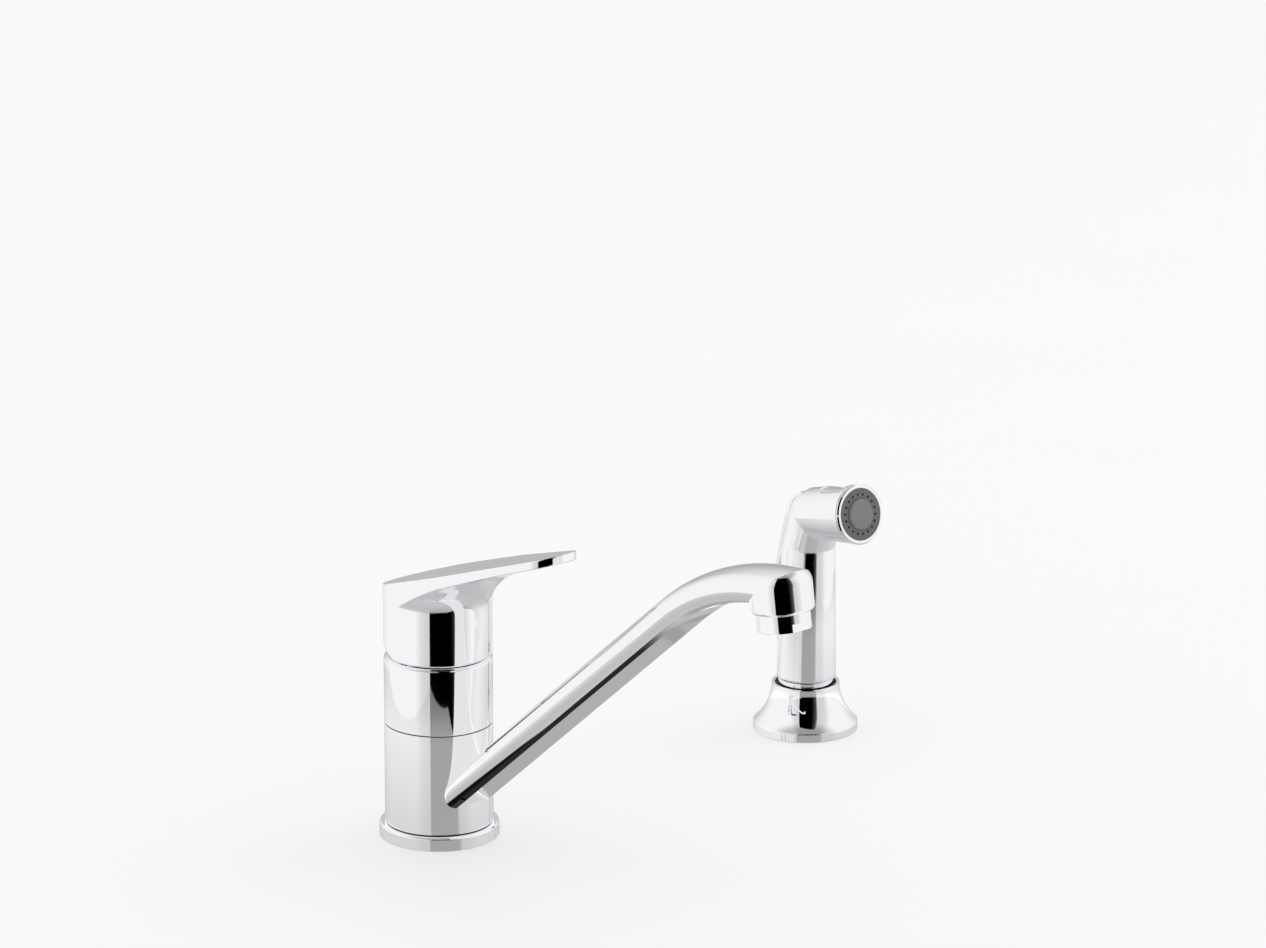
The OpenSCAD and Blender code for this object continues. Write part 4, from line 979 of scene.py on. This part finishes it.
class FAUCET_OT_threads(bpy.types.Operator):
    """Cuts the threads of the shank, the sprayer's guide and the hose outlet."""

    bl_idname = "faucet.threads"
    bl_label = "Threads"

    def execute(self, context):
        sizes = threads()
        low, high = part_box("mounting_shank")
        outer = high.x
        inner = outer - sizes.shank_wall
        shank = threaded_ring(
            "shank_thread", [(inner, low.z), (outer - sizes.chamfer, low.z),
                             (outer, low.z + sizes.chamfer), (outer, high.z), (inner, high.z)],
            (0, 0), low.z + sizes.plain_end, -sizes.deck_gap, sizes.shank_pitch,
            sizes.shank_depth, bpy.data.materials["brass"])
        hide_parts("mounting_shank")
        low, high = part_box("spray_guide")
        middle = (low.x + high.x) / 2
        flange = high.x - middle
        under = high.z - sizes.guide_flange
        outer = sizes.guide_radius
        inner = outer - sizes.guide_wall
        guide = threaded_ring(
            "guide_thread", [(inner, low.z), (outer - sizes.chamfer, low.z),
                             (outer, low.z + sizes.chamfer), (outer, under), (flange, under),
                             (flange, high.z), (inner, high.z)],
            (middle, 0), low.z + sizes.plain_end, -sizes.deck_gap, sizes.guide_pitch,
            sizes.guide_depth, bpy.data.materials["dark_plastic"])
        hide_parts("spray_guide")
        low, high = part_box("spray_outlet")
        outer = (high.x - low.x) / 2
        tube = sizes.outlet_radius
        bore = tube - sizes.outlet_wall
        bevel = sizes.outlet_chamfer
        shoulder = low.z + sizes.outlet_length
        outlet = threaded_ring(
            "outlet_thread", [(bore, low.z), (outer - bevel, low.z), (outer, low.z + bevel),
                              (outer, shoulder), (tube, shoulder), (tube, high.z),
                              (bore, high.z)],
            (0, (low.y + high.y) / 2), low.z + sizes.chamfer, shoulder - sizes.plain_end,
            sizes.outlet_pitch, sizes.outlet_depth, bpy.data.materials["brass"])
        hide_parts("spray_outlet")
        return {"FINISHED"}


# Studio


def heading(turn):
    """Level direction at this turn to the right of the direction to the camera."""
    view = studio().view_turn
    return Vector((math.sin(turn - view), -math.cos(turn - view), 0))


# Where the studio's tones change: across the flag's direction, and up from the horizon
BESIDE_FLAG = (0.6, 2.0)
LOW_WALL = (-0.28, -0.18)
ROOF = (0.72, 0.93)


def world_studio():
    """White walls for the chrome, and even light for the rest."""
    look = studio()
    world = bpy.data.worlds.new("studio")
    bpy.context.scene.world = world
    world.use_nodes = True
    tree = world.node_tree
    background = tree.nodes["Background"]
    ray = vector_maths(tree, "NORMALIZE",
                       tree.nodes.new("ShaderNodeTexCoord").outputs["Generated"])
    split = tree.nodes.new("ShaderNodeSeparateXYZ")
    put(tree, split.inputs[0], ray)
    ahead = vector_maths(tree, "DOT_PRODUCT", ray, heading(look.flag_turn))
    across = vector_maths(tree, "DOT_PRODUCT", ray, heading(look.flag_turn + math.pi / 2))
    side = maths(tree, "DIVIDE", across, maths(tree, "MAXIMUM", ahead, 0.0001))
    wall = smooth(tree, maths(tree, "ABSOLUTE", side), *BESIDE_FLAG, look.beside_light, 1.0)
    back = maths(tree, "MAXIMUM", vector_maths(tree, "DOT_PRODUCT", ray, -heading(0)), 0.0)
    loss = smooth(tree, split.outputs[2], *LOW_WALL, -look.back_loss_low, -look.back_loss)
    fall = maths(tree, "MULTIPLY_ADD", maths(tree, "POWER", back, 6.0), loss, 1.0)
    keep = smooth(tree, split.outputs[2], *ROOF, 1.0, look.roof_light)
    bright = maths(tree, "MULTIPLY", maths(tree, "MULTIPLY", wall, fall), look.wall_light)
    bright = maths(tree, "MULTIPLY", bright, keep)
    path = tree.nodes.new("ShaderNodeLightPath")
    chooser = tree.nodes.new("ShaderNodeMix")
    put(tree, chooser.inputs[0], path.outputs["Is Glossy Ray"])
    chooser.inputs[2].default_value = look.room_light
    put(tree, chooser.inputs[3], bright)
    background.inputs["Color"].default_value = (1, 1, 1, 1)
    put(tree, background.inputs["Strength"], chooser.outputs[0])


def flag_material():
    """Black with soft sides and a soft top, and a faint glow at its right side."""
    look = studio()
    mat = bpy.data.materials.new("flag")
    mat.use_nodes = True
    tree = mat.node_tree
    tree.nodes.remove(tree.nodes["Principled BSDF"])
    split = tree.nodes.new("ShaderNodeSeparateXYZ")
    put(tree, split.inputs[0], object_place(tree))
    side = maths(tree, "DIVIDE", split.outputs[0], look.flag_place)
    height = maths(tree, "DIVIDE", split.outputs[2], look.flag_place)
    left = smooth(tree, side, -look.flag_width - 0.03, -look.flag_width + 0.01)
    right = smooth(tree, side, look.flag_width - 0.09, look.flag_width + 0.06, 1.0, 0.0)
    top = smooth(tree, height, look.flag_height - 0.1, look.flag_height + 0.15, 1.0, 0.0)
    dark = maths(tree, "MULTIPLY", maths(tree, "MULTIPLY", left, right), top)
    glow = tree.nodes.new("ShaderNodeEmission")
    put(tree, glow.inputs["Strength"], smooth(
        tree, side, 0.25, look.flag_width, 0.0, look.flag_glow))
    mix = tree.nodes.new("ShaderNodeMixShader")
    put(tree, mix.inputs[0], dark)
    put(tree, mix.inputs[1], tree.nodes.new("ShaderNodeBsdfTransparent").outputs[0])
    put(tree, mix.inputs[2], glow.outputs[0])
    put(tree, tree.nodes["Material Output"].inputs[0], mix.outputs[0])
    return mat


def flag_card():
    """A black flag near the camera, seen only in the chrome."""
    look = studio()
    half = (look.flag_width + 0.1) * look.flag_place
    top = (look.flag_height + 0.2) * look.flag_place
    card = stage_mesh("flag", [(-half, 0, -2 * top), (half, 0, -2 * top), (half, 0, top),
                               (-half, 0, top)], flag_material())
    card.location = heading(look.flag_turn) * look.flag_place
    card.rotation_euler = (0, 0, look.flag_turn - look.view_turn)
    only_in_chrome(card)


def table_material():
    """What the chrome sees of the table: a pale top with the sheen of the room on it."""
    look = studio()
    mat = bpy.data.materials.new("table_reflection")
    mat.use_nodes = True
    tree = mat.node_tree
    tree.nodes.remove(tree.nodes["Principled BSDF"])
    away = vector_maths(tree, "LENGTH", object_place(tree))
    glow = tree.nodes.new("ShaderNodeEmission")
    slant = tree.nodes.new("ShaderNodeLayerWeight")
    steep = maths(tree, "POWER", maths(tree, "SUBTRACT", 1.0, slant.outputs["Facing"]), 2.0)
    put(tree, glow.inputs["Strength"], maths(
        tree, "MULTIPLY_ADD", steep, look.table_steep, smooth(
            tree, away, look.near_reach, look.far_reach, look.table_near, look.table_far)))
    sheen = tree.nodes.new("ShaderNodeBsdfGlossy")
    sheen.inputs["Roughness"].default_value = 0
    share = maths(tree, "MULTIPLY", maths(tree, "POWER", slant.outputs["Facing"], 2.0),
                  maths(tree, "MULTIPLY_ADD", away, look.sheen_growth, look.sheen))
    share.node.use_clamp = True
    tone = tree.nodes.new("ShaderNodeCombineColor")
    for target in tone.inputs:
        put(tree, target, share)
    put(tree, sheen.inputs["Color"], tone.outputs[0])
    both = tree.nodes.new("ShaderNodeAddShader")
    put(tree, both.inputs[0], glow.outputs[0])
    put(tree, both.inputs[1], sheen.outputs[0])
    put(tree, tree.nodes["Material Output"].inputs[0], both.outputs[0])
    return mat


# Turns in degrees at which each stretch of the reflected table's rim starts and ends
FRONT_RIM = (-16, 44)
LEFT_RIM = (-125, -16)
RIGHT_RIM = (44, 137)


def side_rim(least, turn, middle):
    """Rim at a side, nearest at its middle turn and further to both ends."""
    return least / math.sqrt(max(0.3, math.cos(math.radians(turn - middle))))


def table_edge(turn):
    """Distance from a body's axis to the rim of the reflected table, at a turn in degrees."""
    look = studio()
    turn = (turn + 180) % 360 - 180
    if FRONT_RIM[0] <= turn <= FRONT_RIM[1]:
        return look.front_rim / math.cos(math.radians(turn) - look.flag_turn)
    if LEFT_RIM[0] <= turn < LEFT_RIM[1]:
        return side_rim(look.left_rim, turn, -70)
    if RIGHT_RIM[0] < turn <= RIGHT_RIM[1]:
        return side_rim(look.right_rim, turn, 82)
    return look.back_rim


def faucet_edge(turn):
    """The same around the faucet, which ends where the sprayer's patch starts."""
    look = studio()
    lean = math.sin(math.radians(turn) + look.flag_turn)
    return min(table_edge(turn), look.patch_split / lean if lean > 0.2 else 1)


def stage_mesh(name, points, mat):
    """One flat face of the stage, which isn't part of the faucet."""
    mesh = bpy.data.meshes.new(name)
    mesh.from_pydata(points, [], [tuple(range(len(points)))])
    mesh.update()
    mesh.materials.append(mat)
    thing = bpy.data.objects.new(name, mesh)
    bpy.context.scene.collection.objects.link(thing)
    return thing


def only_in_chrome(thing):
    """Hides a thing of the stage from all but mirror reflections."""
    thing.visible_camera = False
    thing.visible_diffuse = False
    thing.visible_transmission = False
    thing.visible_volume_scatter = False
    thing.visible_shadow = False


def table_patch(name, place, depth, first, last, reach, mat):
    """The near part of the table around a body, seen only in the chrome."""
    points = [(0, 0, 0)] if last - first < 360 else []
    steps = 180
    for step in range(steps + (last - first < 360)):
        turn = first + (last - first) * step / steps
        ray = heading(math.radians(turn)) * reach(turn)
        points.append((ray.x, ray.y, 0))
    patch = stage_mesh(name, points, mat)
    patch.location = (place, 0, depth)
    only_in_chrome(patch)


class FAUCET_OT_studio(bpy.types.Operator):
    """Sets the camera, the lights and the table."""

    bl_idname = "faucet.studio"
    bl_label = "Studio"

    def execute(self, context):
        look = studio()
        scene = context.scene
        scene.view_settings.view_transform = "Standard"
        camera = bpy.data.cameras.new("camera")
        camera.lens = look.lens
        camera.sensor_width = 36
        camera.sensor_fit = "HORIZONTAL"
        holder = bpy.data.objects.new("camera", camera)
        holder.location = look.camera_place
        holder.rotation_euler = (math.pi / 2 - look.view_drop, 0, -look.view_turn)
        scene.collection.objects.link(holder)
        scene.camera = holder
        world_studio()
        flag_card()
        table, tree, shader = new_material("table", look.table, 0.0, 1.0)
        shader.inputs["Specular IOR Level"].default_value = 0
        tone = noise(tree, object_place(tree), 6.0, 2.0)
        tint(tree, shader, tone, shade(look.table, 0.99), shade(look.table, 1.01))
        shader.inputs["Emission Color"].default_value = (1, 1, 1, 1)
        shader.inputs["Emission Strength"].default_value = look.table_glow
        floor = stage_mesh("table", [(-8, -8, 0), (8, -8, 0), (8, 8, 0), (-8, 8, 0)], table)
        floor.visible_glossy = False
        seen = table_material()
        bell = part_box("spray_bell")
        middle = (bell[0].x + bell[1].x) / 2
        table_patch("table_faucet", 0, -0.4 * MM, -180, 180, faucet_edge, seen)
        table_patch("table_sprayer", middle, -0.8 * MM, -16, 180, table_edge, seen)
        lamp = bpy.data.lights.new("lamp", "AREA")
        lamp.energy = look.lamp_power
        lamp.shape = "DISK"
        lamp.size = look.lamp_size
        light = bpy.data.objects.new("lamp", lamp)
        light.location = heading(look.lamp_turn) * look.lamp_reach
        light.location.z = look.lamp_height
        light.rotation_euler = (-light.location).to_track_quat("-Z", "Y").to_euler()
        light.visible_glossy = False
        light.visible_camera = False
        scene.collection.objects.link(light)
        return {"FINISHED"}


OPERATORS = (FAUCET_OT_chrome, FAUCET_OT_lever, FAUCET_OT_metals, FAUCET_OT_plastics,
             FAUCET_OT_threads, FAUCET_OT_studio)


class FAUCET_PT_panel(bpy.types.Panel):
    """Lists the faucet's operators."""

    bl_label = "Faucet"
    bl_idname = "FAUCET_PT_panel"
    bl_space_type = "VIEW_3D"
    bl_region_type = "UI"
    bl_category = "Faucet"

    def draw(self, context):
        for operator in OPERATORS:
            self.layout.operator(operator.bl_idname)


CLASSES = (FaucetFinishes, FaucetLever, FaucetThreads, FaucetStudio, *OPERATORS, FAUCET_PT_panel)


def register():
    """Registers the classes and the scene's settings."""
    for item in CLASSES:
        bpy.utils.register_class(item)
    bpy.types.Scene.faucet_finishes = PointerProperty(type=FaucetFinishes)
    bpy.types.Scene.faucet_lever = PointerProperty(type=FaucetLever)
    bpy.types.Scene.faucet_threads = PointerProperty(type=FaucetThreads)
    bpy.types.Scene.faucet_studio = PointerProperty(type=FaucetStudio)


def unregister():
    """Removes the scene's settings and the classes."""
    del bpy.types.Scene.faucet_studio
    del bpy.types.Scene.faucet_threads
    del bpy.types.Scene.faucet_lever
    del bpy.types.Scene.faucet_finishes
    for item in reversed(CLASSES):
        bpy.utils.unregister_class(item)


def main():
    """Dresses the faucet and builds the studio."""
    register()
    bpy.ops.faucet.chrome()
    bpy.ops.faucet.lever()
    bpy.ops.faucet.metals()
    bpy.ops.faucet.plastics()
    bpy.ops.faucet.threads()
    bpy.ops.faucet.studio()


if __name__ == "__main__":
    main()
